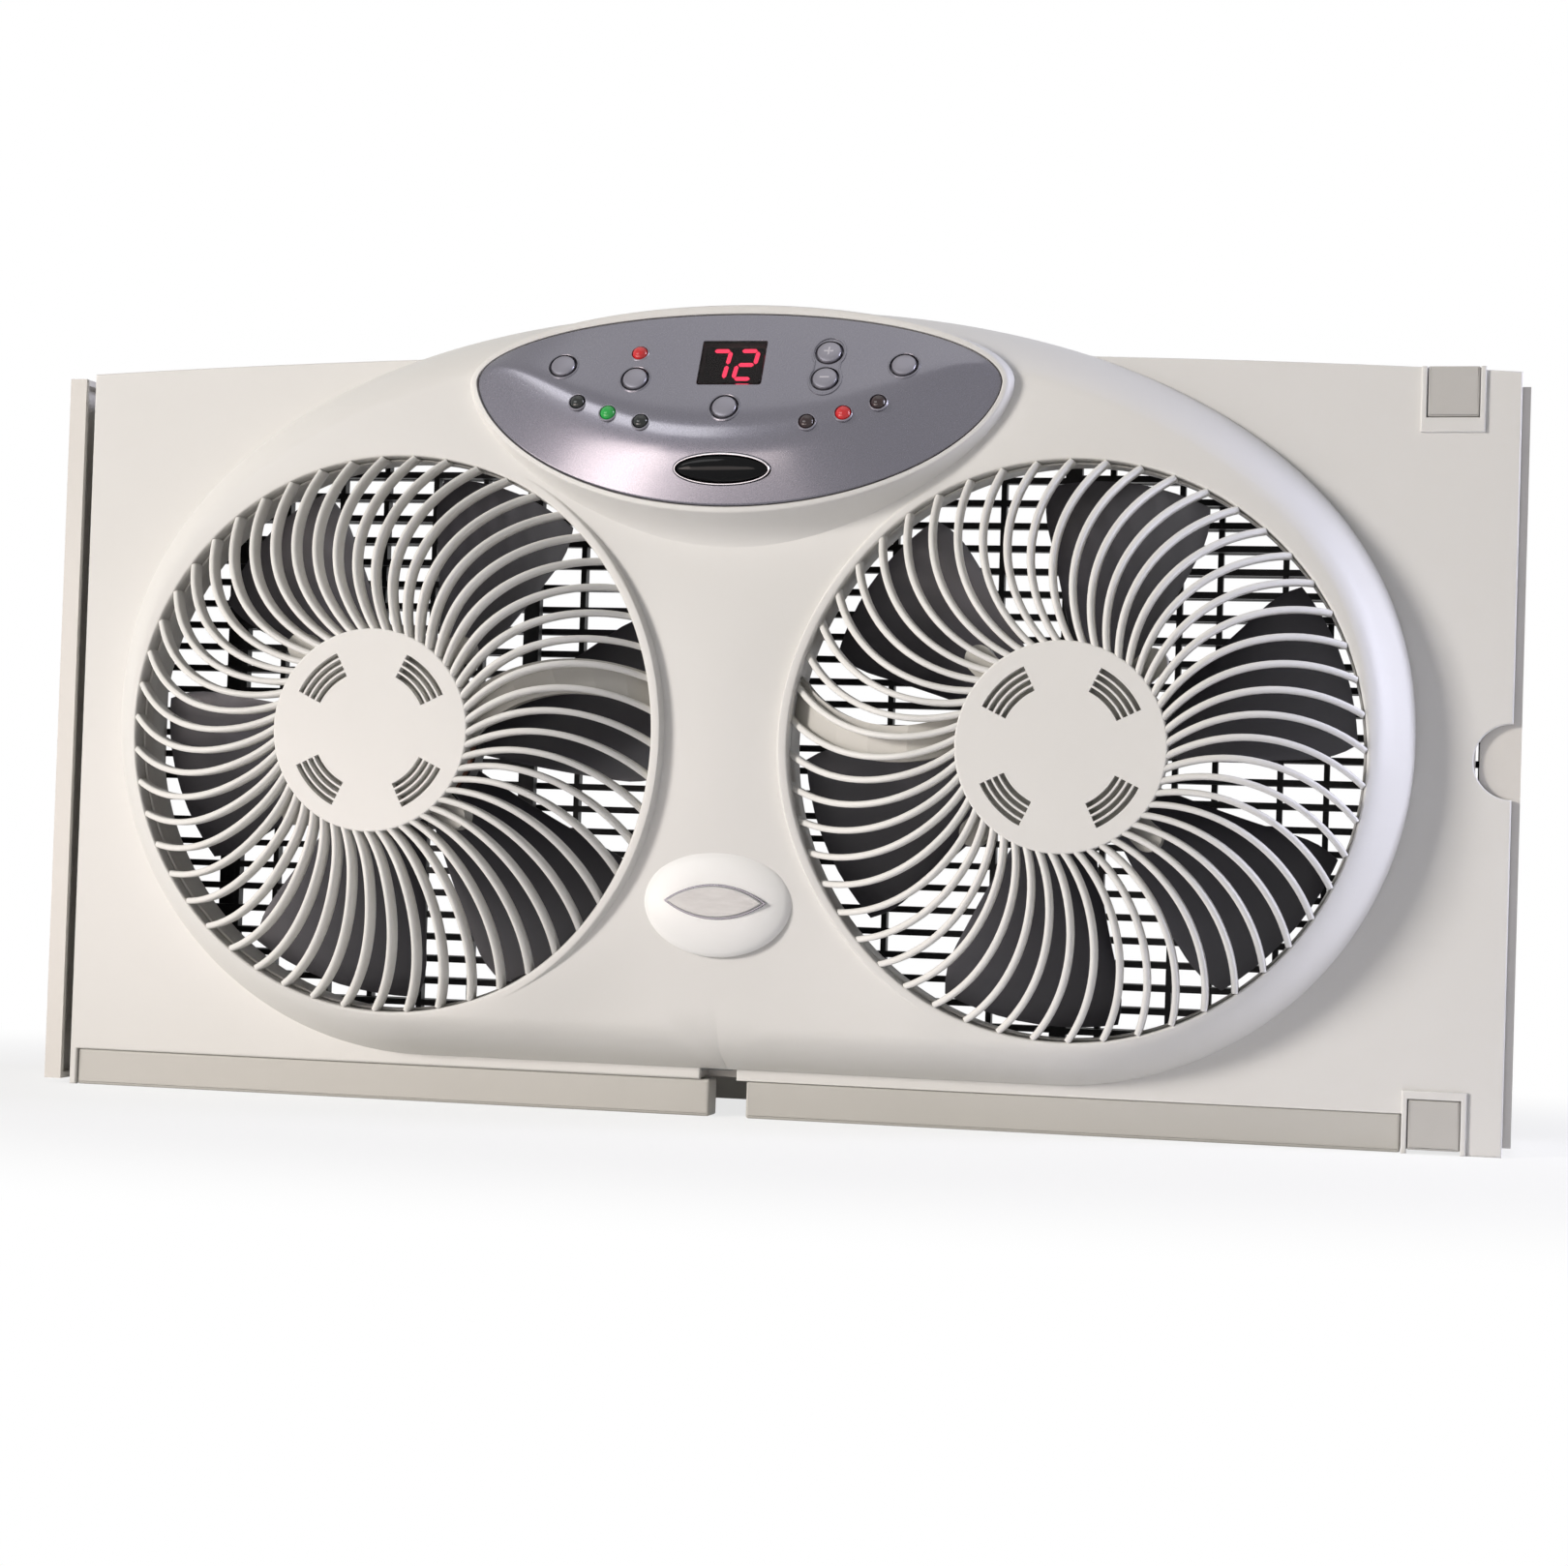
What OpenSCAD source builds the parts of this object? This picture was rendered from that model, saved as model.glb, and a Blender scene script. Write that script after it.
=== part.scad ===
// Twin window fan with slide-out side screens.
// X runs to the right seen from the front, Y into the window, Z up.
// The origin is under the middle of the closed fan, at the sill.

/* [Front plate] */
// Plate edge to the left of the middle between the two fans
plate_left = 287; // [284:1:292]
// Plate edge to the right of the middle between the two fans
plate_right = 305; // [302:1:310]
// Height of the plate at its top corners
plate_corner_h = 302; // [300:1:304]
// Rise of the plate's top edge from the corners to the crown
plate_crown = 8; // [6:1:10]
// Thickness of the plate and the shells
wall = 2.5; // [2:0.1:3]
// Height of the foot rails under the plate
rail_h = 15; // [13:1:16]
// Half width of the open gap between the two foot rails
rail_gap = 7.6; // [6:0.2:9]
// Depth of the foot rails, front to back
rail_depth = 12; // [10:1:16]

/* [Fans] */
// Distance between the two fan axes
fan_spacing = 275.5; // [274:0.5:277]
// Height of the fan axes
fan_z = 151; // [150:1:152]
// Radius of the round air openings
opening_r = 113; // [112:0.5:114]
// Radius of the disc in the middle of each grille
hub_disc_r = 40.5; // [39:0.5:42]
// Number of curved bars in each grille
bar_count = 52; // [40:1:56]
// Width of one curved bar
bar_w = 2.5; // [2:0.1:2.8]
// Depth of one curved bar
bar_depth = 7; // [5:0.5:8]
// How far the grille's flat middle stands in front of the plate
dome_front = 55.3; // [54:0.1:57]
// Radius of the blade tips
blade_tip_r = 106; // [100:1:108]
// Number of blades on each impeller
blade_count = 6; // [5:1:7]
// Angle that one blade covers
blade_span = 41; // [34:1:44]
// Depth of the blades, front to back
blade_depth = 32; // [24:1:34]
// Thickness of the blades
blade_t = 2; // [1.6:0.1:2.4]

/* [Motors] */
// Radius of the motor can
motor_r = 35; // [33:0.5:36]
// Depth of the motor, front to back
motor_depth = 33; // [31:1:34]
// Radius of the motor shaft
shaft_r = 3; // [2.5:0.1:4]
// Radius of the circle of the four motor lugs
lug_circle_r = 47; // [46:0.5:49]

/* [Raised oval] */
// Half width of the raised oval where it meets the plate
oval_half_w = 268.5; // [267:0.5:270]
// Height of the oval's lowest edge
oval_bottom = 19.5; // [19:0.5:21]
// Height of the oval's crown
oval_top = 327.5; // [326:0.5:329]
// Height at which the oval is widest
oval_mid_z = 156.5; // [155:0.5:158]
// Radius of the oval's lower side arcs
oval_arc_r = 137; // [135:0.5:137]
// How far the oval's face stands in front of the plate
oval_front = 21.5; // [20:0.5:23]
// How far the collar round each opening stands in front of the plate
collar_front = 26; // [25:0.5:27]
// Width of the collar round each opening
collar_w = 4; // [3:0.5:5]

/* [Control panel] */
// Half width of the lens-shaped control panel
panel_half_w = 107; // [106:0.5:108]
// Height of the panel's two tips
panel_tip_z = 294; // [293:0.5:295]
// Rise of the panel's top edge above its tips
panel_rise = 28; // [27:0.5:28.5]
// Drop of the panel's bottom edge below its tips
panel_drop = 51; // [50:0.5:52]
// How far the panel's tips stand in front of the plate
tip_front = 28; // [27:0.5:29]
// How far the panel's top edge stands in front of the plate
top_front = 21.5; // [21:0.5:23]
// How far the panel's crease stands in front of the plate
crease_front = 49; // [48:0.5:50]
// How far the panel's bottom edge stands in front of the plate
bottom_front = 41; // [40:0.5:42]
// Thickness of the panel
panel_t = 2.4; // [2:0.1:2.6]
// Gap all round the panel, the windows and the latches
seam = 0.3; // [0.2:0.05:0.4]
// Radius of the six round buttons
button_r = 5; // [4.5:0.1:5.2]
// How far the buttons stand proud of the panel
button_proud = 1.2; // [1:0.1:1.6]
// How far a button can be pressed
button_travel = 0.8; // [0.6:0.05:0.9]
// Radius of the round indicator lamps
lamp_r = 2.9; // [2.5:0.1:3.1]
// Width of the display window
display_w = 25.5; // [24:0.5:26.5]
// Height of the display window, along the panel's slope
display_h = 21; // [19:0.5:22]
// Half width of the remote-control window
remote_half_w = 19.4; // [18:0.1:20]
// Half height of the remote-control window
remote_half_h = 6.3; // [5:0.1:6.6]

/* [Badge] */
// Half width of the oval badge
badge_half_w = 30; // [28:0.5:32]
// Half height of the oval badge
badge_half_h = 22; // [20:0.5:24]
// Height of the badge's middle
badge_z = 87.3; // [85:0.1:89]
// Distance of the badge's middle to the left of the middle between the fans
badge_left = 1.2; // [0:0.1:2]
// Half width of the pointed silver lens on the badge
lens_half_w = 19.6; // [18:0.1:21]
// Half height of the pointed silver lens on the badge
lens_half_h = 6.3; // [5.5:0.1:7]

/* [Rear housing and side screens] */
// Depth of the body behind the plate's front face
body_depth = 90; // [88:0.5:94]
// Pitch of the slats of the rear grille and the side screens
slat_pitch = 9.7; // [9.2:0.1:10.5]
// Height of one slat
slat_h = 2.7; // [2.3:0.1:3]
// Pitch of the upright ribs of the rear grille
rib_pitch = 46.3; // [44:0.1:48]
// Width of one upright rib
rib_w = 2.4; // [2:0.1:3]
// Half width of the rear grille
rear_half_w = 258; // [256:0.5:260]
// Width of each side screen
screen_w = 186; // [182:1:190]
// How far each side screen slides out
screen_travel = 165; // [150:1:168]
// Gap between the left end bar and the plate
left_bar_gap = 4; // [3.6:0.1:4.6]
// Width of the left end bar's front face
left_bar_w = 7.3; // [6:0.1:8]
// How far the right end bar stands out past the plate
right_bar_out = 3.3; // [3:0.1:4]
// Width of the right end bar's front lip, behind the plate
right_bar_w = 15.6; // [15:0.1:16.2]
// Radius of the finger notch in the plate's right edge
notch_r = 14.6; // [13:0.1:15]
// Width and height of the two square latches
latch_w = 19.6; // [18:0.2:20]
// How far a latch can be pressed
latch_travel = 1.5; // [1:0.1:1.8]

/* [Hidden] */
$fn = 64;
RIGHT = 1;
LEFT = -1;
SIDES = [LEFT, RIGHT];
// The closed fan reaches further right than left of the fans' middle.
left_reach = plate_left + left_bar_gap + left_bar_w;
right_reach = plate_right + right_bar_out;
total_w = left_reach + right_reach;
middle_x = (left_reach - right_reach) / 2;
middle_y = (dome_front - body_depth) / 2;
plate_w = plate_left + plate_right;
plate_arc_r = (pow(plate_w / 2, 2) + pow(plate_crown, 2)) / (2 * plate_crown);
crown_h = plate_corner_h + plate_crown;
fan_x = fan_spacing / 2;

// Curved grille bars: each is part of a circle of its own.
bar_arc_r = 61.3;
bar_arc_from_axis = 89.6;
bar_arc_turn = 36.6;
bar_arc_first = 46;
bar_arc_sweep = 86;
bar_phase = [1.4, 5];
grille_rim_w = 1.8;
grille_rim_gap = 0.3;
grille_rim_depth = 6;
grille_rim_r = opening_r - grille_rim_gap;
// Falls of the dome behind its flat middle: [radius, fall].
dome_fall = [[60, 0.2], [76, 3.6], [90, 10], [101, 17], [grille_rim_r - grille_rim_w / 2, 27]];
disc_t = 2.4;
rest_gap = 0.3;
disc_edge_depth = bar_depth;
rim_ledge = 1.8;
vent_first_r = 24.4;
vent_pitch = 2.75;
vent_rows = 4;
vent_w = 1.8;
vent_sweep = 38;
window_r = [vent_first_r - vent_w / 2, motor_r - 2];

// Motor stack behind the grille's middle disc, as depths from the plate face.
disc_back = -dome_front + disc_t;
plate_t = 4;
mount_boss_h = 3.5;
mount_screw_circle_r = 19;
mount_front = disc_back + mount_boss_h;
lug_front = -dome_front + bar_depth + rest_gap;
motor_front = mount_front + plate_t;
motor_back = motor_front + motor_depth;
bell_depth = 10;
stator_depth = motor_depth - 2 * bell_depth;
bell_wall = 1.6;
bearing_r = 8;
bearing_w = 6;
bearing_bore_gap = 0.02;
rotor_r = 17;
rotor_gap = 0.4;
run_gap = 1;
lug_r = 5.4;
lug_len = 10;
lug_back = lug_front + lug_len;
ear_t = 1.6;
screw_r = 1.5;
screw_head_r = 3;
screw_head_h = 2;
boss_r = 4;
strut_w = 14;
strut_wall = 1.6;
strut_depth = 6;
strut_angle = [12, 173.5];
strut_top = bar_depth + rest_gap;
strut_end_r = opening_r - rim_ledge - rest_gap;
lead_w = 4;
lead_t = 1.6;

// Impellers.
blade_root_r = 20;
impeller_hub_r = 22;
impeller_front = motor_back + 3;
impeller_hub_len = blade_depth + 4;
blade_front = impeller_front + 2;
blade_phase = [7, 17];
nut_r = 7;
nut_h = 6;
nut_gap = 0.02;
shaft_end = impeller_front + impeller_hub_len + nut_h + 3;

// Control parts. The panel leans back above its crease.
crease_low = 0.36;
crease_climb = 0.575;
crease_power = 2.7;
panel_top_z = panel_tip_z + panel_rise;
panel_bottom_z = panel_tip_z - panel_drop;
// Growth of the pod past the panel: [sides, top, bottom].
NO_GROWTH = [0, 0, 0];
pod_front_growth = [3, 4, 3];
pod_back_growth = [10, 5, 26];
pod_wall = 2.4;
pod_lift = 0.4;
pod_ledge = 2;
button_flange = 1.3;
button_flange_t = 1.2;
button_stem_r = 1.8;
board_w = 150;
board_h = 40;
board_z = 289;
board_waist = 30;
board_side_h = 18;
board_drop = 13;
board_t = 1.6;
standoff_at = [[-54, 296], [54, 296]];
standoff_r = 2.6;
switch_size = 6;
switch_h = 3.4;
button_at = [[-69.3, 299.4], [-38.5, 293.7], [0, 281.5], [38.7, 305], [38.5, 293.7], [69.3, 299.4]];
lamp_at = [[-60.8, 284], [-47.5, 279.4], [-33.5, 275.7], [33.5, 275.7], [47.5, 279.4], [60.8, 284]];
mode_lamp = [-38.5, 305];
GREEN = [1];
RED = [4];
DARK = [0, 2, 3, 5];
display_z = 300.8;
remote_z = 257;
window_t = 1.6;
segment_h = 13.6;
segment_w = 7;
segment_line = 1.6;
digit_step = 11.4;
power_board_z = [208, 240];
power_board_y = -12;
power_board_half_w = 34;
power_post_in = 5;
power_post_z = [213, 228];
capacitor_x = [-24, -10];
capacitor_z = 226;
capacitor_r = 5.5;
capacitor_len = 22;
transformer_x = [6, 30];
transformer_z = [211, 237];
transformer_len = 22;
thermistor_at = [-20, 212];
thermistor_r = 1.8;
thermistor_len = 8;
badge_t = 5;
badge_lens_t = 1.5;

// Rear parts.
shell_top_gap = 8;
shell_top = plate_corner_h - shell_top_gap;
shell_bottom = rail_h + 0.4;
rear_grille_t = 5;
screen_t = 5;
screen_gap = 0.6;
guide_t = 2;
guide_gap = 0.5;
guide_h = 5;
screen_back = body_depth - rear_grille_t - screen_gap - guide_t - guide_gap;
screen_front = screen_back - screen_t;
frame_w = 7;
slat_first = 27;
slat_count = floor((shell_top - 2 * frame_w - slat_first) / slat_pitch) + 1;
bar_side_t = 2.5;
left_bar_z = [2, plate_corner_h - 2];
right_bar_z = [3.5, plate_corner_h - 5.5];
right_bar_front = wall + 1;
housing_left = -plate_left + 3;
housing_right = right_reach - right_bar_w - 1.5;
side_wall_depth = screen_front - guide_gap - guide_t;
latch_t = 2.2;
latch_frame_w = 2.4;
latch_frame_proud = 1.4;
latch_sink = 0.6;
latch_edge = 16;
latch_left = plate_right - latch_edge - latch_w;
latch_lip = 1.5;
latch_room = 10;
notch_z = 151.5;
rail_notch_depth = 4.5;
tab_boss_h = 8;
tab_t = 3;
tab_half_w = 5;
tab_top_z = shell_top - wall - 4;
tab_bottom_z = shell_bottom + wall + 5.5;
gland_r = 8;
gland_bore_r = 3.6;
gland_h = 12;
gland_x = 24;
gland_y = 46;
tab_left_in = 16;
tab_right_in = 15;
tab_middle_x = 200;
tab_x = [-plate_left + tab_left_in, -tab_middle_x, tab_middle_x, latch_left - tab_right_in];
tab_at = [for (x = tab_x) for (z = [tab_bottom_z, tab_top_z]) [x, z]];

// ---- Helpers ----

// Moves a piece from the fans' middle and the plate face to the part's own frame.
module place() { translate([middle_x, middle_y, 0]) children(); }

// Moves a piece to one fan's axis.
module at_fan(side) { translate([side * fan_x, 0, fan_z]) children(); }

// Extrudes an outline drawn in X and Z from depth y0 back to depth y1.
module deep(y0, y1) { translate([0, y1, 0]) rotate([90, 0, 0]) linear_extrude(y1 - y0) children(); }

// Turns a profile of [radius, depth] points about the fan axis.
module turned(profile) {
    rotate([90, 0, 0]) rotate_extrude($fn = 96) polygon([for (p = profile) [p[0], -p[1]]]);
}

// A round rod along the fan axis, from depth y0 back to depth y1.
module rod(r, y0, y1) { translate([0, y1, 0]) rotate([90, 0, 0]) cylinder(r = r, h = y1 - y0); }

// A tube along the fan axis.
module tube(r_out, r_in, y0, y1) {
    difference() {
        rod(r_out, y0, y1);
        rod(r_in, y0 - 1, y1 + 1);
    }
}

// A block from its low corner to its high corner.
module block(low, high) { translate(low) cube(high - low); }

// A closed solid through a list of rings, each with the same number of points.
module loft(rings) {
    n = len(rings[0]);
    last = (len(rings) - 1) * n;
    points = [for (ring = rings) for (p = ring) p];
    sides = [for (k = [0 : len(rings) - 2]) for (i = [0 : n - 1]) let (j = (i + 1) % n)
        each [[k * n + i, k * n + j, (k + 1) * n + j], [k * n + i, (k + 1) * n + j, (k + 1) * n + i]]];
    polyhedron(points, concat(
        [[for (i = [n - 1 : -1 : 0]) i]], sides, [[for (i = [0 : n - 1]) last + i]]));
}

// ---- Raised oval ----

// One point of the oval's outline, moved inwards by an inset, at an angle from its widest point.
oval_power = 2.22;
function oval_point(a, inset) =
    a <= 180
    ? [(oval_half_w - inset) * sign(cos(a)) * pow(abs(cos(a)), 2 / oval_power),
       oval_mid_z + (oval_top - oval_mid_z - inset) * pow(abs(sin(a)), 2 / oval_power)]
    : [(a <= 270 ? -1 : 1) * (oval_half_w - oval_arc_r) + (oval_arc_r - inset) * cos(a),
       oval_mid_z + (oval_arc_r - inset) * sin(a)];
oval_angles = concat([for (a = [0 : 7.5 : 180]) a], [for (a = [189 : 9 : 270]) a], [for (a = [271 : 8.9 : 352]) a]);
// Steps of the oval's rounded flank: [inset, distance in front of the plate].
flank = [[0, 0], [3, 9], [6.5, 15], [11, 19], [17, oval_front]];

module oval_solid(shrink, back) {
    loft([for (k = [len(flank) - 1 : -1 : 0])
        let (depth = k == 0 ? back : -flank[k][1] + shrink)
        [for (a = oval_angles) let (p = oval_point(a, flank[k][0] + shrink)) [p[0], depth, p[1]]]]);
}

// ---- Lens-shaped control panel ----

function lens_top(t, grow) = panel_tip_z + (panel_rise + grow) * pow(1 - t * t, 0.53);
function lens_bottom(t, grow) = panel_tip_z - (panel_drop + grow) * pow(1 - t * t, 0.6);
// The crease climbs from the middle of the panel towards its tips.
function crease_share(t) = crease_low + crease_climb * pow(abs(t), crease_power);
// How far the panel stands in front of the plate, at share t across and share v up.
function lens_front(t, v) =
    let (b = 1 - t * t,
         c = crease_share(t),
         low = tip_front + (bottom_front - tip_front) * b,
         mid = tip_front + (crease_front - tip_front) * b,
         high = tip_front + (top_front - tip_front) * b)
    v < c ? low + (mid - low) * v / c : mid + (high - mid) * (v - c) / (1 - c);
// Depth of the panel's face at a place [x, z].
function panel_depth(at) =
    let (t = at[0] / panel_half_w, low = lens_bottom(t, 0))
    -lens_front(t, (at[1] - low) / (lens_top(t, 0) - low));
// Sideways turn and backwards lean of the panel's face at a place [x, z].
function panel_turn(at) = atan((panel_depth([at[0] + 1, at[1]]) - panel_depth([at[0] - 1, at[1]])) / 2);
function panel_lean(at) =
    atan((panel_depth([at[0], at[1] + 1]) - panel_depth([at[0], at[1] - 1])) / 2 * cos(panel_turn(at)));
// Direction straight out of the panel.
function panel_out(at) =
    let (turn = panel_turn(at), lean = panel_lean(at))
    [cos(lean) * sin(turn), -cos(lean) * cos(turn), sin(lean)];

lens_columns = 20;
lens_end = 84;
crease_steps = [0, 0.34, 0.67, 1];
top_steps = [0.25, 0.5, 0.75, 1];
// A closed solid behind the panel's face, grown past its outline, between two shifts in depth.
module lens_solid(front_growth, front_shift, back_growth, back_shift, flat_back = false) {
    n = len(crease_steps) + len(top_steps);
    function rows(c) = concat([for (k = crease_steps) k * c], [for (k = top_steps) c + k * (1 - c)]);
    function sheet(growth, shift, flat) = [for (i = [0 : lens_columns])
        let (t = sin(-lens_end + 2 * lens_end * i / lens_columns),
             low = lens_bottom(t, growth[2]),
             high = lens_top(t, growth[1]))
        for (v = rows(crease_share(t)))
            [t * (panel_half_w + growth[0]), flat ? shift : -lens_front(t, v) + shift, low + v * (high - low)]];
    front = sheet(front_growth, front_shift, false);
    back = sheet(back_growth, back_shift, flat_back);
    shell_faces(front, back, lens_columns, n);
}

// A closed solid between two sheets of points, each a grid of columns + 1 by n points.
module shell_faces(front, back, columns, n) {
    m = len(front);
    quads = [for (i = [0 : columns - 1]) for (k = [0 : n - 2])
        [i * n + k, (i + 1) * n + k, (i + 1) * n + k + 1, i * n + k + 1]];
    edge = concat([for (i = [0 : columns]) i * n], [for (k = [1 : n - 1]) columns * n + k],
        [for (i = [columns - 1 : -1 : 0]) i * n + n - 1], [for (k = [n - 2 : -1 : 1]) k]);
    polyhedron(concat(front, back), concat(
        [for (q = quads) each [[q[0], q[2], q[1]], [q[0], q[3], q[2]]]],
        [for (q = quads) each [[m + q[0], m + q[1], m + q[2]], [m + q[0], m + q[2], m + q[3]]]],
        [for (i = [0 : len(edge) - 1]) let (a = edge[i], b = edge[(i + 1) % len(edge)])
            each [[a, b, m + b], [a, m + b, m + a]]]));
}

// Puts a piece on the panel's face with its own +Z pointing out of the panel.
module on_panel(at) {
    translate([at[0], panel_depth(at), at[1]]) rotate([0, 0, panel_turn(at)])
        rotate([90 - panel_lean(at), 0, 0]) children();
}

// The control board lies parallel to the panel's upper face, behind it.
board_lean = panel_lean([0, panel_tip_z]);
board_out = [0, -cos(board_lean), sin(board_lean)];
function panel_point(at) = [at[0], panel_depth(at), at[1]];
board_point = panel_point([0, board_z]) - board_drop * board_out;
// Distance from the panel's face to the board, straight into the panel.
function board_reach(at) = (panel_point(at) - board_point) * board_out / (panel_out(at) * board_out);
module on_board(at = [0, 0]) {
    translate(board_point) rotate([90 - board_lean, 0, 0]) translate([at[0], at[1], 0]) children();
}
// Place of a piece on the board that lies straight behind a place on the panel.
function board_place(at) =
    let (p = panel_point(at) - board_reach(at) * panel_out(at) - board_point)
    [p[0], p[1] * sin(board_lean) + p[2] * cos(board_lean)];

// ---- Front housing ----

module oval_outline(inset) {
    polygon([for (a = oval_angles) oval_point(a, inset)]);
}

module plate_outline() {
    intersection() {
        translate([-plate_left, 0]) square([plate_w, crown_h + 1]);
        translate([(plate_right - plate_left) / 2, crown_h - plate_arc_r]) circle(r = plate_arc_r, $fn = 360);
    }
    oval_outline(0);
}

upper_latch_z = [plate_corner_h - latch_w + 2, plate_corner_h + 2];
lower_latch_z = [1.5, latch_w + 1];

module latch_hole(z, cut_low, cut_high) {
    block([latch_left - seam, -9, z[0] - cut_low], [latch_left + latch_w + seam, 9, z[1] + cut_high]);
}

module latch_frames() {
    for (z = [[upper_latch_z[0] - 6, upper_latch_z[1]], [0, lower_latch_z[1] + 3.6]])
        block([latch_left - latch_frame_w, -latch_frame_proud, z[0]],
            [latch_left + latch_w + latch_frame_w, wall, z[1]]);
}

// Collar and round duct of one opening, with the ledge that the grille rests on.
module duct(side) {
    rim_back = grille_rim_back();
    at_fan(side) turned([[opening_r, -collar_front], [opening_r + collar_w / 2, -collar_front],
        [opening_r + collar_w, -collar_front + 1.5], [opening_r + collar_w, wall], [opening_r, wall],
        [opening_r, rim_back + 2], [opening_r - rim_ledge, rim_back + 2],
        [opening_r - rim_ledge, rim_back], [opening_r, rim_back]]);
}

// The pod stands on the oval's face and reaches back to the plate at its top.
module pod() {
    intersection() {
        lens_solid(pod_front_growth, pod_lift, pod_back_growth, 0, true);
        union() {
            block([-200, -90, 0], [200, -oval_front + wall, crown_h + 60]);
            block([-200, -90, panel_tip_z], [200, 1, crown_h + 60]);
        }
    }
}

module pod_hollow() {
    lens_solid([-pod_ledge, -pod_ledge, -pod_ledge], panel_t - 1,
        [for (k = pod_back_growth) k - pod_wall], 0, true);
}

module front_housing() place() color("#dedad4") difference() {
    union() {
        difference() {
            union() {
                deep(0, wall) plate_outline();
                difference() {
                    oval_solid(0, wall);
                    oval_solid(wall, wall + 2);
                }
                pod();
                latch_frames();
            }
            pod_hollow();
            // The plate is open behind the oval, below the rear housing's top wall
            intersection() {
                deep(-0.5, wall + 1) oval_outline(wall + 1.5);
                block([-plate_w, -9, 0], [plate_w, 9, shell_top - wall - 2]);
            }
            for (side = SIDES) at_fan(side) rod(opening_r + 1, -60, wall + 10);
        }
        for (side = SIDES) duct(side);
        for (at = tab_at) translate([at[0], 0, at[1]]) rod(boss_r, wall - 1, wall + tab_boss_h);
        for (x = [-1, 1]) for (z = power_post_z) translate([x * (power_board_half_w - power_post_in), 0, z])
            rod(boss_r - 1, -oval_front + 1, power_board_y);
    }
    lens_solid([seam, seam, seam], -9, [seam, seam, seam], panel_t + rest_gap);
    // Room for the two foot rails, and the open gap between them
    block([-plate_left + 3, -9, -1], [latch_left - latch_frame_w, wall + 1, rail_h]);
    block([-rail_gap - 4, -9, rail_h - 1], [rail_gap - 4, wall + 1, rail_h + rail_notch_depth]);
    translate([plate_right, 0, notch_z]) rod(notch_r, -9, 9);
    latch_hole(upper_latch_z, seam, 20);
    latch_hole(lower_latch_z, 20, seam);
    for (at = tab_at) translate([at[0], 0, at[1]]) rod(screw_r, wall + 1, 60);
}

// ---- Foot rails ----

module foot_rail(x0, x1) {
    difference() {
        block([x0, 1.2, 0], [x1, 1.2 + rail_depth, rail_h]);
        block([x0 + wall, 1.2 + wall, wall], [x1 - wall, 2.2 + rail_depth, rail_h - wall]);
    }
}

module left_foot_rail() place() color("#c6c0b9") foot_rail(-plate_left + 3.2, -rail_gap);
module right_foot_rail() place() color("#c6c0b9") foot_rail(rail_gap, latch_left - latch_frame_w - 0.2);

// The pads lie under the rear skirt, the same way in from both ends of the plate.
pad_w = 16;
pad_in = 20;
pad_back = 4;
pad_d = 8;
pad_t = 1.5;
module foot_pads() place() color("#3a3a3a") for (x = [-plate_left + pad_in, plate_right - pad_in - pad_w])
    block([x, body_depth - pad_back - pad_d, 0], [x + pad_w, body_depth - pad_back, pad_t]);

// ---- Grilles ----

function dome_depth(r, i = 0) =
    r <= dome_fall[0][0] || i >= len(dome_fall) - 1
    ? -dome_front + dome_fall[r <= dome_fall[0][0] ? 0 : i][1]
    : r <= dome_fall[i + 1][0]
    ? -dome_front + dome_fall[i][1] + (dome_fall[i + 1][1] - dome_fall[i][1])
        * (r - dome_fall[i][0]) / (dome_fall[i + 1][0] - dome_fall[i][0])
    : dome_depth(r, i + 1);
function grille_rim_back() = dome_depth(grille_rim_r) + bar_depth;

// A layer under the dome from one radius to another, between two depths below it.
module dome_band(r0, r1, shift0, shift1) {
    radii = concat([r0], [for (p = dome_fall) if (p[0] > r0 && p[0] < r1) p[0]], [r1]);
    turned(concat([for (r = radii) [r, dome_depth(r) + shift0]],
        [for (i = [len(radii) - 1 : -1 : 0]) [radii[i], dome_depth(radii[i]) + shift1]]));
}

// One arc that starts at the middle disc and ends at the rim.
module grille_arc(angle, w, y0, y1) {
    rotate([0, bar_arc_turn - angle, 0]) translate([bar_arc_from_axis, y1, 0])
        rotate([90, 0, 0]) rotate([0, 0, bar_arc_first + bar_arc_turn])
        rotate_extrude(angle = bar_arc_sweep) translate([bar_arc_r - w / 2, 0]) square([w, y1 - y0]);
}

// Places pieces at the four screws behind the grille's middle disc.
module at_mount_screws() {
    for (a = [0 : 90 : 270]) rotate([0, a, 0]) translate([mount_screw_circle_r, 0, 0]) children();
}

// Places pieces at the four lugs of the motor.
module at_lugs() {
    for (a = [45 : 90 : 315]) rotate([0, a, 0]) translate([lug_circle_r, 0, 0]) children();
}

module grille(i) {
    intersection() {
        union() for (k = [0 : bar_count - 1])
            grille_arc(bar_phase[i] + k * 360 / bar_count, bar_w, -dome_front - 2, -dome_front + 40);
        dome_band(hub_disc_r - 1, grille_rim_r - grille_rim_w / 2, 0, bar_depth);
    }
    difference() {
        turned([[0, -dome_front], [hub_disc_r - 1.5, -dome_front], [hub_disc_r, -dome_front + 1.5],
            [hub_disc_r, -dome_front + disc_edge_depth], [hub_disc_r - disc_t, -dome_front + disc_edge_depth],
            [hub_disc_r - disc_t, disc_back], [0, disc_back]]);
        for (q = [45 : 90 : 315]) for (row = [0 : vent_rows - 1])
            vent_slot(q, vent_first_r + row * vent_pitch);
    }
    tube(grille_rim_r, grille_rim_r - grille_rim_w, dome_depth(grille_rim_r) + 1, grille_rim_back());
    at_mount_screws() tube(boss_r, screw_r, disc_back - 0.2, mount_front);
}

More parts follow.
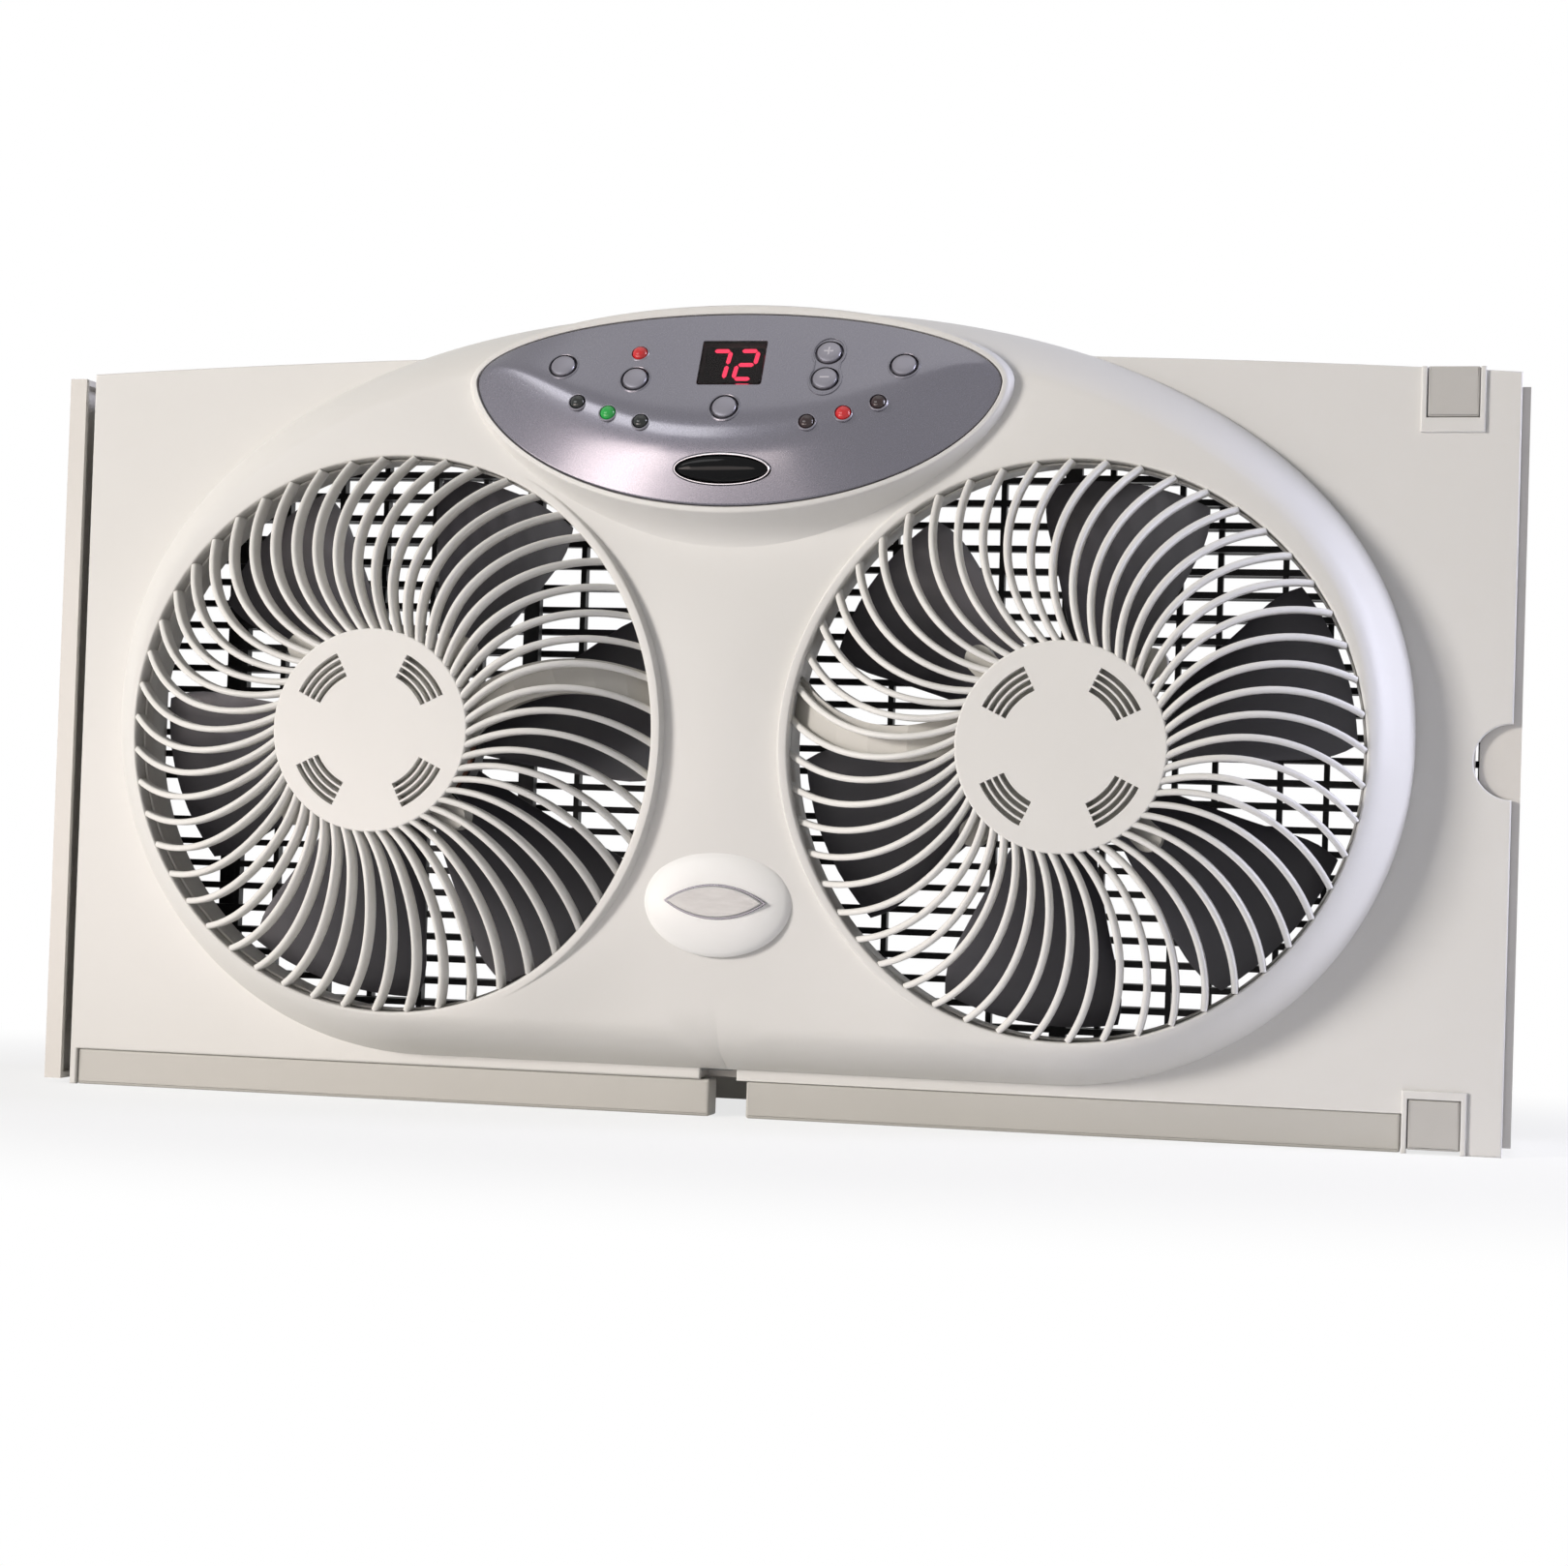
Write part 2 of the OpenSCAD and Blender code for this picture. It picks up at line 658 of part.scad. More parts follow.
module vent_slot(middle, r) {
    rotate([0, -middle, 0]) translate([0, disc_back + 1, 0]) rotate([90, 0, 0]) rotate([0, 0, -vent_sweep / 2])
        rotate_extrude(angle = vent_sweep) translate([r - vent_w / 2, 0]) square([vent_w, disc_t + 2]);
}

module left_grille() place() at_fan(LEFT) color("#dcdad3") grille(0);
module right_grille() place() at_fan(RIGHT) color("#dcdad3") grille(1);

// ---- Motor mounts ----

module motor_mount(i) {
    difference() {
        union() {
            rod(motor_r, mount_front, motor_front);
            at_lugs() rod(lug_r, lug_front, lug_back);
            for (a = [45 : 90 : 315]) rotate([0, a, 0])
                block([motor_r - 6, lug_front, -lug_r], [lug_circle_r, motor_front, lug_r]);
            intersection() {
                grille_arc(strut_angle[i], strut_w, -dome_front, 0);
                dome_band(motor_r - 3, strut_end_r, strut_top, strut_top + strut_depth);
            }
        }
        // The strut is a channel that is open at its back
        intersection() {
            grille_arc(strut_angle[i], strut_w - 2 * strut_wall, -dome_front, 0);
            dome_band(motor_r + 4, strut_end_r + 1, strut_top + strut_wall, strut_top + strut_depth + 2);
        }
        at_mount_screws() {
            rod(screw_r + 0.2, mount_front - 1, motor_front + 1);
            rod(screw_head_r + 0.3, motor_front - screw_head_h - 0.2, motor_front + 1);
        }
        at_lugs() rod(screw_r, lug_back - 8, lug_back + 1);
        rod(motor_r + rest_gap, motor_front, motor_front + strut_depth + 9);
        rod(bearing_r + 1, mount_front - 1, motor_front + 1);
        for (q = [45 : 90 : 315]) mount_window(q);
    }
}

// Cooling air passes through a window in the plate behind each group of vent slots.
module mount_window(middle) {
    rotate([0, -middle, 0]) translate([0, motor_front + 1, 0]) rotate([90, 0, 0])
        rotate([0, 0, -vent_sweep / 2]) rotate_extrude(angle = vent_sweep)
            translate([window_r[0], 0]) square([window_r[1] - window_r[0], motor_front - lug_front + 2]);
}

module left_motor_mount() place() at_fan(LEFT) color("#cfcdc4") motor_mount(0);
module right_motor_mount() place() at_fan(RIGHT) color("#cfcdc4") motor_mount(1);

// The two wires of each motor lie side by side in the strut's channel.
module motor_leads() place() color("#2c2c30") for (i = [0, 1]) at_fan(SIDES[i]) intersection() {
    difference() {
        grille_arc(strut_angle[i], lead_w, -dome_front, 0);
        grille_arc(strut_angle[i], lead_w - 3.2, -dome_front, 0);
    }
    dome_band(motor_r + 5, strut_end_r - 0.5, strut_top + strut_wall, strut_top + strut_wall + lead_t);
}

// ---- Motors ----

module bell(y0, y1, front) {
    seat = front ? y0 : y1 - bearing_w;
    difference() {
        union() {
            tube(motor_r, motor_r - bell_wall, y0, y1);
            rod(motor_r, front ? y0 : y1 - bell_wall, front ? y0 + bell_wall : y1);
            rod(bearing_r + 2.4, seat, seat + bearing_w);
            if (front) for (a = [45 : 90 : 315]) rotate([0, a, 0]) {
                block([motor_r - 1, lug_back, -lug_r + 1], [lug_circle_r, lug_back + ear_t, lug_r - 1]);
                translate([lug_circle_r, 0, 0]) rod(lug_r - 1, lug_back, lug_back + ear_t);
            }
        }
        rod(bearing_r, y0 - 1, y1 + 1);
        for (a = [22.5 : 45 : 337.5]) rotate([0, a, 0]) translate([motor_r - 10, 0, 0])
            rod(3.2, y0 - 1, y1 + 1);
        if (front) at_lugs() rod(screw_r + 0.2, lug_back - 1, lug_back + ear_t + 1);
    }
}

module stator() {
    core0 = motor_front + bell_depth;
    core1 = core0 + stator_depth;
    difference() {
        rod(motor_r - 0.8, core0, core1);
        rod(rotor_r + rotor_gap, core0 - 1, core1 + 1);
        for (q = [0 : 45 : 315]) rotate([0, q + 22.5, 0]) block([rotor_r + 3, core0 - 1, -3.4],
            [motor_r - 6, core1 + 1, 3.4]);
    }
    for (q = [0 : 45 : 315]) rotate([0, q, 0])
        block([rotor_r + 3, core0 - 4, -3.2], [motor_r - 7, core1 + 4, 3.2]);
}

module bearings() {
    for (y = [motor_front, motor_back - bearing_w])
        tube(bearing_r, shaft_r + bearing_bore_gap, y, y + bearing_w);
}

module rotor() {
    tube(rotor_r, shaft_r, motor_front + bell_depth, motor_back - bell_depth);
    for (y = [motor_front + bell_depth - 2.4, motor_back - bell_depth])
        tube(rotor_r - 2, shaft_r, y, y + 2.4);
}

module left_front_bell() place() at_fan(LEFT) color("#3a3b3d") bell(motor_front, motor_front + bell_depth, true);
module right_front_bell() place() at_fan(RIGHT) color("#3a3b3d") bell(motor_front, motor_front + bell_depth, true);
module left_rear_bell() place() at_fan(LEFT) color("#3a3b3d") bell(motor_back - bell_depth, motor_back, false);
module right_rear_bell() place() at_fan(RIGHT) color("#3a3b3d") bell(motor_back - bell_depth, motor_back, false);
module left_stator() place() at_fan(LEFT) color("#8a5a3c") stator();
module right_stator() place() at_fan(RIGHT) color("#8a5a3c") stator();
module left_bearings() place() at_fan(LEFT) color("#b08d57") bearings();
module right_bearings() place() at_fan(RIGHT) color("#b08d57") bearings();
module left_rotor() place() at_fan(LEFT) color("#9a9a9c") rotor();
module right_rotor() place() at_fan(RIGHT) color("#9a9a9c") rotor();
module left_shaft() place() at_fan(LEFT) color("#c0c0c4") rod(shaft_r, motor_front + 0.5, shaft_end);
module right_shaft() place() at_fan(RIGHT) color("#c0c0c4") rod(shaft_r, motor_front + 0.5, shaft_end);

// ---- Impellers ----

blade_rings = 7;
blade_steps = 5;
// Angle that the blade covers at a radius: it narrows towards its rounded tip.
function blade_cover(share) = blade_span * (share < 0.85 ? 1 : 1 - 6 * pow(share - 0.85, 2));
// A point of a blade: share of the radius, share of the chord, and side of its thickness.
function blade_point(share, c, back) =
    let (r = blade_root_r + share * (blade_tip_r - blade_root_r),
         a = (c - 0.5) * blade_cover(share) + 4 * share,
         bow = 3.5 * sin(180 * c) * share,
         slope = blade_depth * (1 - 0.25 * share))
    [r * cos(a), blade_front + blade_depth / 2 + (c - 0.5) * (slope - blade_t) - bow + (back ? 0.5 : -0.5) * blade_t,
     r * sin(a)];

module blade() {
    function face(back) = [for (i = [0 : blade_rings]) for (k = [0 : blade_steps])
        blade_point(i / blade_rings, k / blade_steps, back)];
    shell_faces(face(false), face(true), blade_rings, blade_steps + 1);
}

module impeller(i) {
    difference() {
        union() {
            rod(impeller_hub_r, impeller_front, impeller_front + impeller_hub_len);
            for (k = [0 : blade_count - 1]) rotate([0, -blade_phase[i] - k * 360 / blade_count, 0]) blade();
        }
        rod(shaft_r + nut_gap, impeller_front - 1, impeller_front + impeller_hub_len + 1);
        tube(impeller_hub_r - 2.5, shaft_r + 4, impeller_front + 4, impeller_front + impeller_hub_len + 1);
    }
}

module impeller_nut() {
    difference() {
        turned([[0, impeller_front + impeller_hub_len], [nut_r + 3, impeller_front + impeller_hub_len],
            [nut_r + 3, impeller_front + impeller_hub_len + 1.5], [nut_r, impeller_front + impeller_hub_len + 1.5],
            [nut_r - 1.5, impeller_front + impeller_hub_len + nut_h], [0, impeller_front + impeller_hub_len + nut_h]]);
        rod(shaft_r + nut_gap, impeller_front, shaft_end + 1);
    }
}

module left_impeller() place() at_fan(LEFT) color("#3b3b3f") impeller(0);
module right_impeller() place() at_fan(RIGHT) color("#3b3b3f") impeller(1);
module left_impeller_nut() place() at_fan(LEFT) color("#77797c") impeller_nut();
module right_impeller_nut() place() at_fan(RIGHT) color("#77797c") impeller_nut();

// ---- Screws ----

module screw(y0, y1) {
    rod(screw_head_r, y1, y1 + screw_head_h);
    rod(screw_r, y0, y1);
}

// Screws that hold each motor mount to its grille
module mount_screws() place() color("#a9abad") for (side = SIDES) at_fan(side)
    at_mount_screws() screw(disc_back + 0.6, motor_front - screw_head_h);

// Screws that hold each motor to its mount
module motor_screws() place() color("#a9abad") for (side = SIDES) at_fan(side)
    at_lugs() screw(lug_back - 6, lug_back + ear_t);

module housing_screws() place() color("#a9abad") for (at = tab_at)
    translate([at[0], 0, at[1]]) screw(wall + 1.5, wall + tab_boss_h + tab_t);

// ---- Control panel and what it carries ----

module control_panel() place() color("#8b8690") {
    difference() {
        lens_solid(NO_GROWTH, 0, NO_GROWTH, panel_t);
        for (at = button_at) on_panel(at) cylinder(r = button_r + seam, h = 20, center = true);
        for (at = concat(lamp_at, [mode_lamp])) at_lamp(at) cylinder(r = lamp_r + 0.1, h = 20, center = true);
        on_panel([0, display_z]) cube([display_w + 2 * seam, display_h + 2 * seam, 20], center = true);
        on_panel([0, remote_z]) translate([0, 0, -10]) linear_extrude(20) ellipse(remote_half_w + seam, remote_half_h + seam);
    }
    // Posts that the control board is fixed to
    for (at = standoff_at) on_panel(at) translate([0, 0, -board_reach(at)])
        cylinder(r = standoff_r, h = board_reach(at) - panel_t / 2);
}

module ellipse(half_w, half_h) {
    polygon([for (a = [0 : 6 : 354]) [half_w * cos(a), half_h * sin(a)]]);
}

// Each button has a flange behind the panel and a plunger that reaches to its switch.
module button(at) {
    flange_top = -panel_t - rest_gap;
    plunger_end = -board_reach(at) + switch_h + button_travel + 0.4;
    on_panel(at) {
        translate([0, 0, flange_top]) cylinder(r = button_r, h = button_proud - flange_top);
        translate([0, 0, flange_top - button_flange_t]) cylinder(r = button_r + button_flange, h = button_flange_t);
        translate([0, 0, plunger_end]) cylinder(r = button_stem_r, h = flange_top - plunger_end);
    }
}

module timer_button() place() color("#b4b2b8") button(button_at[0]);
module mode_button() place() color("#b4b2b8") button(button_at[1]);
module light_button() place() color("#b4b2b8") button(button_at[2]);
module plus_button() place() color("#b4b2b8") button(button_at[3]);
module minus_button() place() color("#b4b2b8") button(button_at[4]);
module speed_button() place() color("#b4b2b8") button(button_at[5]);

// The lamps sit on the crease and face the same way as the panel above it.
module at_lamp(at) {
    above = [at[0], at[1] + 5];
    translate([at[0], panel_depth(at), at[1]]) rotate([0, 0, panel_turn(above)])
        rotate([90 - panel_lean(above), 0, 0]) children();
}

module lamp(at) {
    above = [at[0], at[1] + 5];
    reach = (panel_point(at) - board_point) * board_out / (panel_out(above) * board_out);
    at_lamp(at) {
        translate([0, 0, -5]) cylinder(r = lamp_r, h = 5.8);
        translate([0, 0, 0.8]) cylinder(r1 = lamp_r, r2 = lamp_r - 1, h = 0.7);
        translate([0, 0, -reach]) cylinder(r = lamp_r - 1.2, h = reach - 4);
    }
}

module dark_lamps() place() color("#202422") for (i = DARK) lamp(lamp_at[i]);
module green_lamp() place() color("#1fb24a") for (i = GREEN) lamp(lamp_at[i]);
module red_lamps() place() color("#d3202c") {
    for (i = RED) lamp(lamp_at[i]);
    lamp(mode_lamp);
}

module display_window() place() color("#16161a", 0.5) on_panel([0, display_z])
    translate([-display_w / 2, -display_h / 2, 0.2 - window_t]) cube([display_w, display_h, window_t]);

// Which of the seven bars are lit: top, upper right, lower right, bottom, lower left, upper left, middle.
digit_bars = [[1, 1, 1, 0, 0, 0, 0], [1, 1, 0, 1, 1, 0, 1]];
module digit(bars) {
    h = segment_h / 2;
    w = segment_w / 2;
    line = segment_line;
    spots = [[0, h, 0], [w, h / 2, 1], [w, -h / 2, 1], [0, -h, 0], [-w, -h / 2, 1], [-w, h / 2, 1], [0, 0, 0]];
    for (i = [0 : 6]) if (bars[i] == 1) translate([spots[i][0], spots[i][1], 0])
        cube(spots[i][2] == 1 ? [line, h - line / 4, 0.6] : [segment_w + line, line, 0.6], center = true);
}

module digit_display() place() color("#c81e2a") on_panel([0, display_z]) {
    top = 0.2 - window_t - rest_gap - 0.3;
    reach = board_reach([0, display_z]);
    translate([-display_w / 2 + 1, -display_h / 2 + 1.5, -reach]) cube([display_w - 2, display_h - 3, reach + top]);
    for (i = [0, 1]) translate([(i - 0.5) * digit_step, 0, top]) digit(digit_bars[i]);
}

module remote_window() place() color("#0c0c0e") on_panel([0, remote_z]) {
    translate([0, 0, -panel_t]) linear_extrude(panel_t + 1) ellipse(remote_half_w, remote_half_h);
    linear_extrude(1.6) ellipse(remote_half_w - 2, remote_half_h - 1.6);
}

module remote_receiver() place() color("#26262a") on_panel([0, remote_z])
    translate([-3, -3, -panel_t - rest_gap - 5.6]) cube([6, 6, 5.6]);

// The board's lower corners are cut off to clear the panel.
module control_board() place() color("#2f6b3f") on_board() translate([0, 0, -board_t]) linear_extrude(board_t) {
    x = board_w / 2;
    y = board_h / 2;
    polygon([[-x, y], [x, y], [x, board_side_h - y], [x - board_waist, -y], [board_waist - x, -y], [-x, board_side_h - y]]);
}

// Each switch stands on the board under its button.
module button_switches() place() color("#1d1d20") for (at = button_at) on_board(board_place(at))
    translate([-switch_size / 2, -switch_size / 2, 0]) cube([switch_size, switch_size, switch_h]);

power_board_back = power_board_y + board_t;
module power_board() place() color("#2f6b3f")
    block([-power_board_half_w, power_board_y, power_board_z[0]],
        [power_board_half_w, power_board_back, power_board_z[1]]);

module capacitors() place() color("#27406e") for (x = capacitor_x)
    translate([x, 0, capacitor_z]) rod(capacitor_r, power_board_back, power_board_back + capacitor_len);

module transformer() place() color("#b9a04c")
    block([transformer_x[0], power_board_back, transformer_z[0]],
        [transformer_x[1], power_board_back + transformer_len, transformer_z[1]]);

module thermistor() place() color("#7d3f2a") translate([thermistor_at[0], 0, thermistor_at[1]])
    rod(thermistor_r, power_board_back, power_board_back + thermistor_len);

// ---- Badge ----

module badge() place() color("#dedcd6") translate([-badge_left, 0, badge_z])
    deep(-oval_front - badge_t, -oval_front) ellipse(badge_half_w, badge_half_h);

module badge_lens() place() color("#b8b8b6") translate([-badge_left, 0, badge_z])
    deep(-oval_front - badge_t - badge_lens_t, -oval_front - badge_t) intersection() {
        // Two arcs that meet in a point at each end
        r = (lens_half_w * lens_half_w + lens_half_h * lens_half_h) / (2 * lens_half_h);
        translate([0, r - lens_half_h]) circle(r = r, $fn = 96);
        translate([0, lens_half_h - r]) circle(r = r, $fn = 96);
    }

// ---- Rear housing ----

module rear_housing() place() color("#d8d4cd") difference() {
    union() {
        // Top, bottom and middle walls, and the two side walls in front of the screens
        block([housing_left, wall, shell_top - wall], [housing_right, body_depth, shell_top]);
        block([housing_left, wall, shell_bottom], [housing_right, body_depth, shell_bottom + wall]);
        block([-wall / 2, wall, shell_bottom], [wall / 2, body_depth - rear_grille_t, shell_top]);
        for (x = [housing_left, housing_right - wall])
            block([x, wall, shell_bottom], [x + wall, side_wall_depth, shell_top]);
        // Rear skirt that stands on the sill behind
        for (x = [[housing_left, -rail_gap], [rail_gap, housing_right]])
            block([x[0], body_depth - 14, 1.5], [x[1], body_depth, shell_bottom]);
        // Guides in front of and behind the two sliding screens
        for (z = [shell_bottom + wall, shell_top - wall - guide_h])
            for (y = [screen_front - guide_gap - guide_t, screen_back + guide_gap])
                block([housing_left, y, z], [housing_right, y + guide_t, z + guide_h]);
        // Tabs that are screwed to the front housing
        for (at = tab_at) block(
            [at[0] - tab_half_w, wall + tab_boss_h, at[1] < fan_z ? shell_bottom : at[1] - tab_half_w],
            [at[0] + tab_half_w, wall + tab_boss_h + tab_t, at[1] < fan_z ? at[1] + tab_half_w : shell_top]);
    }
    for (at = tab_at) translate([at[0], 0, at[1]])
        rod(screw_r + 0.2, wall + tab_boss_h - 1, wall + tab_boss_h + tab_t + 1);
    // Room behind the two latches and behind the notch between the foot rails
    for (z = [[upper_latch_z[0] - 3, shell_top + 1], [0, lower_latch_z[1] + 3]])
        block([latch_left - latch_lip - 1, wall - 1, z[0]], [latch_left + latch_w + latch_lip + 1, latch_room, z[1]]);
    block([-rail_gap - 4, wall - 1, 0], [rail_gap - 4, wall + rail_depth, rail_h + rail_notch_depth]);
    translate([gland_x, gland_y, shell_bottom - 1]) cylinder(r = gland_r, h = wall + 2);
}

// An upright frame filled with level slats and upright ribs.
module slatted(x0, x1, z0, z1, ribs) {
    difference() {
        translate([x0, z0]) square([x1 - x0, z1 - z0]);
        for (k = [0 : slat_count - 2]) for (i = [0 : len(ribs) - 2])
            translate([ribs[i] + rib_w / 2, slat_first + k * slat_pitch + slat_h / 2])
                square([ribs[i + 1] - ribs[i] - rib_w, slat_pitch - slat_h]);
    }
}

rib_steps = floor((rear_half_w - frame_w) / rib_pitch);
rear_ribs = concat([-rear_half_w + frame_w - rib_w / 2], [for (k = [-rib_steps : rib_steps]) k * rib_pitch],
    [rear_half_w - frame_w + rib_w / 2]);
screen_bottom = shell_bottom + wall + guide_gap;
screen_top = shell_top - wall - guide_gap;

module rear_grille() place() color("#1b1b1d") deep(body_depth - rear_grille_t, body_depth)
    slatted(-rear_half_w, rear_half_w, shell_bottom + wall + seam, shell_top - wall - seam, rear_ribs);

// ---- Side screens and end bars ----

// Ribs of a side screen, counted from its outer edge.
function screen_ribs(side, outer) = [for (k = side == LEFT ? [0 : 4] : [4 : -1 : 0])
    outer - side * (frame_w - rib_w / 2 + k * (screen_w - 2 * frame_w + rib_w) / 4)];

left_outer = -left_reach + bar_side_t;
right_outer = right_reach - bar_side_t;

module left_screen() place() color("#1b1b1d") deep(screen_front, screen_back)
    slatted(left_outer, left_outer + screen_w, screen_bottom, screen_top, screen_ribs(LEFT, left_outer));

module right_screen() place() color("#1b1b1d") deep(screen_front, screen_back)
    slatted(right_outer - screen_w, right_outer, screen_bottom, screen_top, screen_ribs(RIGHT, right_outer));

// Each end bar is a channel that is open towards the housing.
module end_bar(x0, x1, open_low, open_high, y0, z) {
    difference() {
        block([x0, y0, z[0]], [x1, body_depth - 2, z[1]]);
        block([x0 + open_low, y0 + wall, z[0] + wall], [x1 - open_high, body_depth - 2 - wall, z[1] - wall]);
    }
}

module left_end_bar() place() color("#d6d2cb")
    end_bar(-left_reach, -left_reach + left_bar_w, bar_side_t, -1, 0, left_bar_z);

module right_end_bar() place() color("#d6d2cb")
    end_bar(right_reach - right_bar_w, right_reach, -1, bar_side_t, right_bar_front, right_bar_z);

// ---- Latches ----

// The latch's lip lies behind the plate, so the latch can't fall out at the front.
module latch(z, lip_z) {
    block([latch_left, latch_sink - latch_frame_proud, z[0]], [latch_left + latch_w, wall + rest_gap, z[1]]);
    block([latch_left - latch_lip, wall + rest_gap, lip_z[0]],
        [latch_left + latch_w + latch_lip, wall + rest_gap + latch_t, lip_z[1]]);
}

module upper_latch() place() color("#b9b8b5")
    latch(upper_latch_z, [upper_latch_z[0] - latch_lip, upper_latch_z[1]]);
module lower_latch() place() color("#b9b8b5")
    latch(lower_latch_z, [lower_latch_z[0], lower_latch_z[1] + latch_lip]);

// ---- Cord gland ----

module cord_gland() place() color("#2a2a2c") translate([gland_x, gland_y, shell_bottom - gland_h + wall + 2]) difference() {
    union() {
        cylinder(r = gland_r - 0.1, h = gland_h);
        translate([0, 0, gland_h - 2]) cylinder(r = gland_r + 2, h = 2);
    }
    translate([0, 0, -1]) cylinder(r = gland_bore_r, h = gland_h + 2);
}

front_housing();
left_foot_rail();
right_foot_rail();
foot_pads();
left_grille();
right_grille();
left_motor_mount();
right_motor_mount();
left_front_bell();
right_front_bell();
left_stator();
right_stator();
left_rear_bell();
right_rear_bell();
left_bearings();
right_bearings();
left_rotor();
right_rotor();
left_shaft();
right_shaft();
left_impeller();
right_impeller();
left_impeller_nut();
right_impeller_nut();
motor_screws();
mount_screws();
motor_leads();
control_panel();
display_window();
digit_display();
remote_window();
remote_receiver();
timer_button();
mode_button();
light_button();
plus_button();
minus_button();
speed_button();
dark_lamps();
green_lamp();
red_lamps();
control_board();
button_switches();
power_board();
capacitors();
transformer();
thermistor();
badge();
badge_lens();
rear_housing();
rear_grille();
housing_screws();
left_screen();
right_screen();
left_end_bar();
right_end_bar();
upper_latch();
lower_latch();
cord_gland();
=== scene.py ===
"""Twin window fan. Points are worked out in design millimetres (X right, Y into the window,
Z up, from the fans' middle and the plate's face) and put into the frame in metres by SHIFT."""

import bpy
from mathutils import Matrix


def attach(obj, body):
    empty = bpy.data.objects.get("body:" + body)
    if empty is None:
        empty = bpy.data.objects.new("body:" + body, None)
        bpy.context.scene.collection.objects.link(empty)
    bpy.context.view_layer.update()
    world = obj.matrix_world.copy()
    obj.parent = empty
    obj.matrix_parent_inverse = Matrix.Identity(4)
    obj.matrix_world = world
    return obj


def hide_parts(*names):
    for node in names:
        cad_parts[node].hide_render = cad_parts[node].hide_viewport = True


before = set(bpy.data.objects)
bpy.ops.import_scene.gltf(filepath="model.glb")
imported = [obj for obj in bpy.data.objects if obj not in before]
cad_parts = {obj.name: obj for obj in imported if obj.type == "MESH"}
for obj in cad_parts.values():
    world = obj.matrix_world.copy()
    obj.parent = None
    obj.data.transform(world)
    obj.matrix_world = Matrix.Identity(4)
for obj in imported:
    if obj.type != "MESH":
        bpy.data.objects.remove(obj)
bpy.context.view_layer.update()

import math

import bmesh
import bpy
import numpy as np
from mathutils import Matrix, Vector
from mathutils.geometry import delaunay_2d_cdt, tessellate_polygon

# The frame's origin is under the middle of the closed part
SHIFT = np.array([-5.0, -17.35, 0.0])
FAN_X = 137.75
FAN_Z = 151.0
OPENING_R = 113.0
LEFT, RIGHT = -1, 1
WALL = 2.5
# How far the oval's level face and the grilles' flat middle discs stand in front of the plate
FACE_OUT = 21.5
DISC_OUT = 55.3


# ---- Materials ----

def linear(code):
    """An sRGB hex colour as linear red, green, blue and alpha."""
    c = np.array([int(code[i:i + 2], 16) for i in (1, 3, 5)]) / 255
    c = np.where(c <= 0.04045, c / 12.92, ((c + 0.055) / 1.055) ** 2.4)
    return (*c.tolist(), 1.0)


def add(tree, kind, inputs=None, **settings):
    """Adds a node. Inputs are values, or (node, output) pairs to link."""
    new = tree.nodes.new(kind)
    for name, value in settings.items():
        setattr(new, name, value)
    for name, value in (inputs or {}).items():
        if isinstance(value, tuple) and len(value) == 2 and isinstance(value[0], bpy.types.Node):
            tree.links.new(value[0].outputs[value[1]], new.inputs[name])
        else:
            new.inputs[name].default_value = value
    return new


def finish(name, colour, other, patch_mm, grain_mm, rough, metallic=0.0, ior=1.5, grain=0.06,
           rough_swing=0.06, stretch=(1, 1, 1), **sockets):
    """A moulded, painted or metal finish: two close colours in soft patches of patch_mm, a surface
    grain of grain_mm as bump, and roughness that swings a little with the grain. Moulded grain and
    metal flakes are really finer than 0.1 mm, and are drawn as coarse as they need to show."""
    look = bpy.data.materials.new(name)
    look.use_nodes = True
    tree = look.node_tree
    shader = tree.nodes["Principled BSDF"]
    where = add(tree, "ShaderNodeTexCoord")
    turn = add(tree, "ShaderNodeMapping", {"Vector": (where, "Object"), "Scale": stretch})
    patches = add(tree, "ShaderNodeTexNoise", {"Vector": (turn, "Vector"), "Scale": 1000 / patch_mm,
                                               "Detail": 3.0, "Roughness": 0.5})
    fine = add(tree, "ShaderNodeTexNoise", {"Vector": (turn, "Vector"), "Scale": 1000 / grain_mm,
                                            "Detail": 2.0, "Roughness": 0.6})
    mixed = add(tree, "ShaderNodeMix", {0: (patches, "Fac"), 6: linear(colour), 7: linear(other)},
                data_type="RGBA")
    swing = add(tree, "ShaderNodeMapRange", {0: (fine, "Fac"), 1: 0.3, 2: 0.7,
                                             3: rough - rough_swing, 4: rough + rough_swing})
    bump = add(tree, "ShaderNodeBump", {"Height": (fine, "Fac"), "Strength": grain,
                                        "Distance": grain_mm * 0.0004})
    tree.links.new(mixed.outputs[2], shader.inputs["Base Color"])
    tree.links.new(swing.outputs[0], shader.inputs["Roughness"])
    tree.links.new(bump.outputs["Normal"], shader.inputs["Normal"])
    shader.inputs["Metallic"].default_value = metallic
    if metallic < 1:
        shader.inputs["IOR"].default_value = ior
    for socket, value in sockets.items():
        shader.inputs[socket.replace("_", " ")].default_value = value
    return look


# Moulded ABS, spark-eroded mould: warm off-white with a fine satin grain. Its IOR is brought down
# from ABS's 1.53, because the real one's sheen is weak.
abs_white = finish("moulded_abs_offwhite", "#dbdad7", "#d7d6d2", 60, 0.8, 0.42, ior=1.36)
# The same ABS, polished on the grilles' bars, and painted a little lighter than the housing's: painted light
# on the bars
abs_grille_painted_light = finish("moulded_abs_grille_painted_light", "#e0dfdb", "#dbdad6", 40, 0.8, 0.38, ior=1.4)
# ABS of the separate foot rails: matt, and painted darker than the housing as painted shade under the plate's
# lip
abs_painted_shade = finish("moulded_abs_painted_shade", "#bcbab4", "#b6b4ae", 50, 0.8, 0.5, ior=1.53)
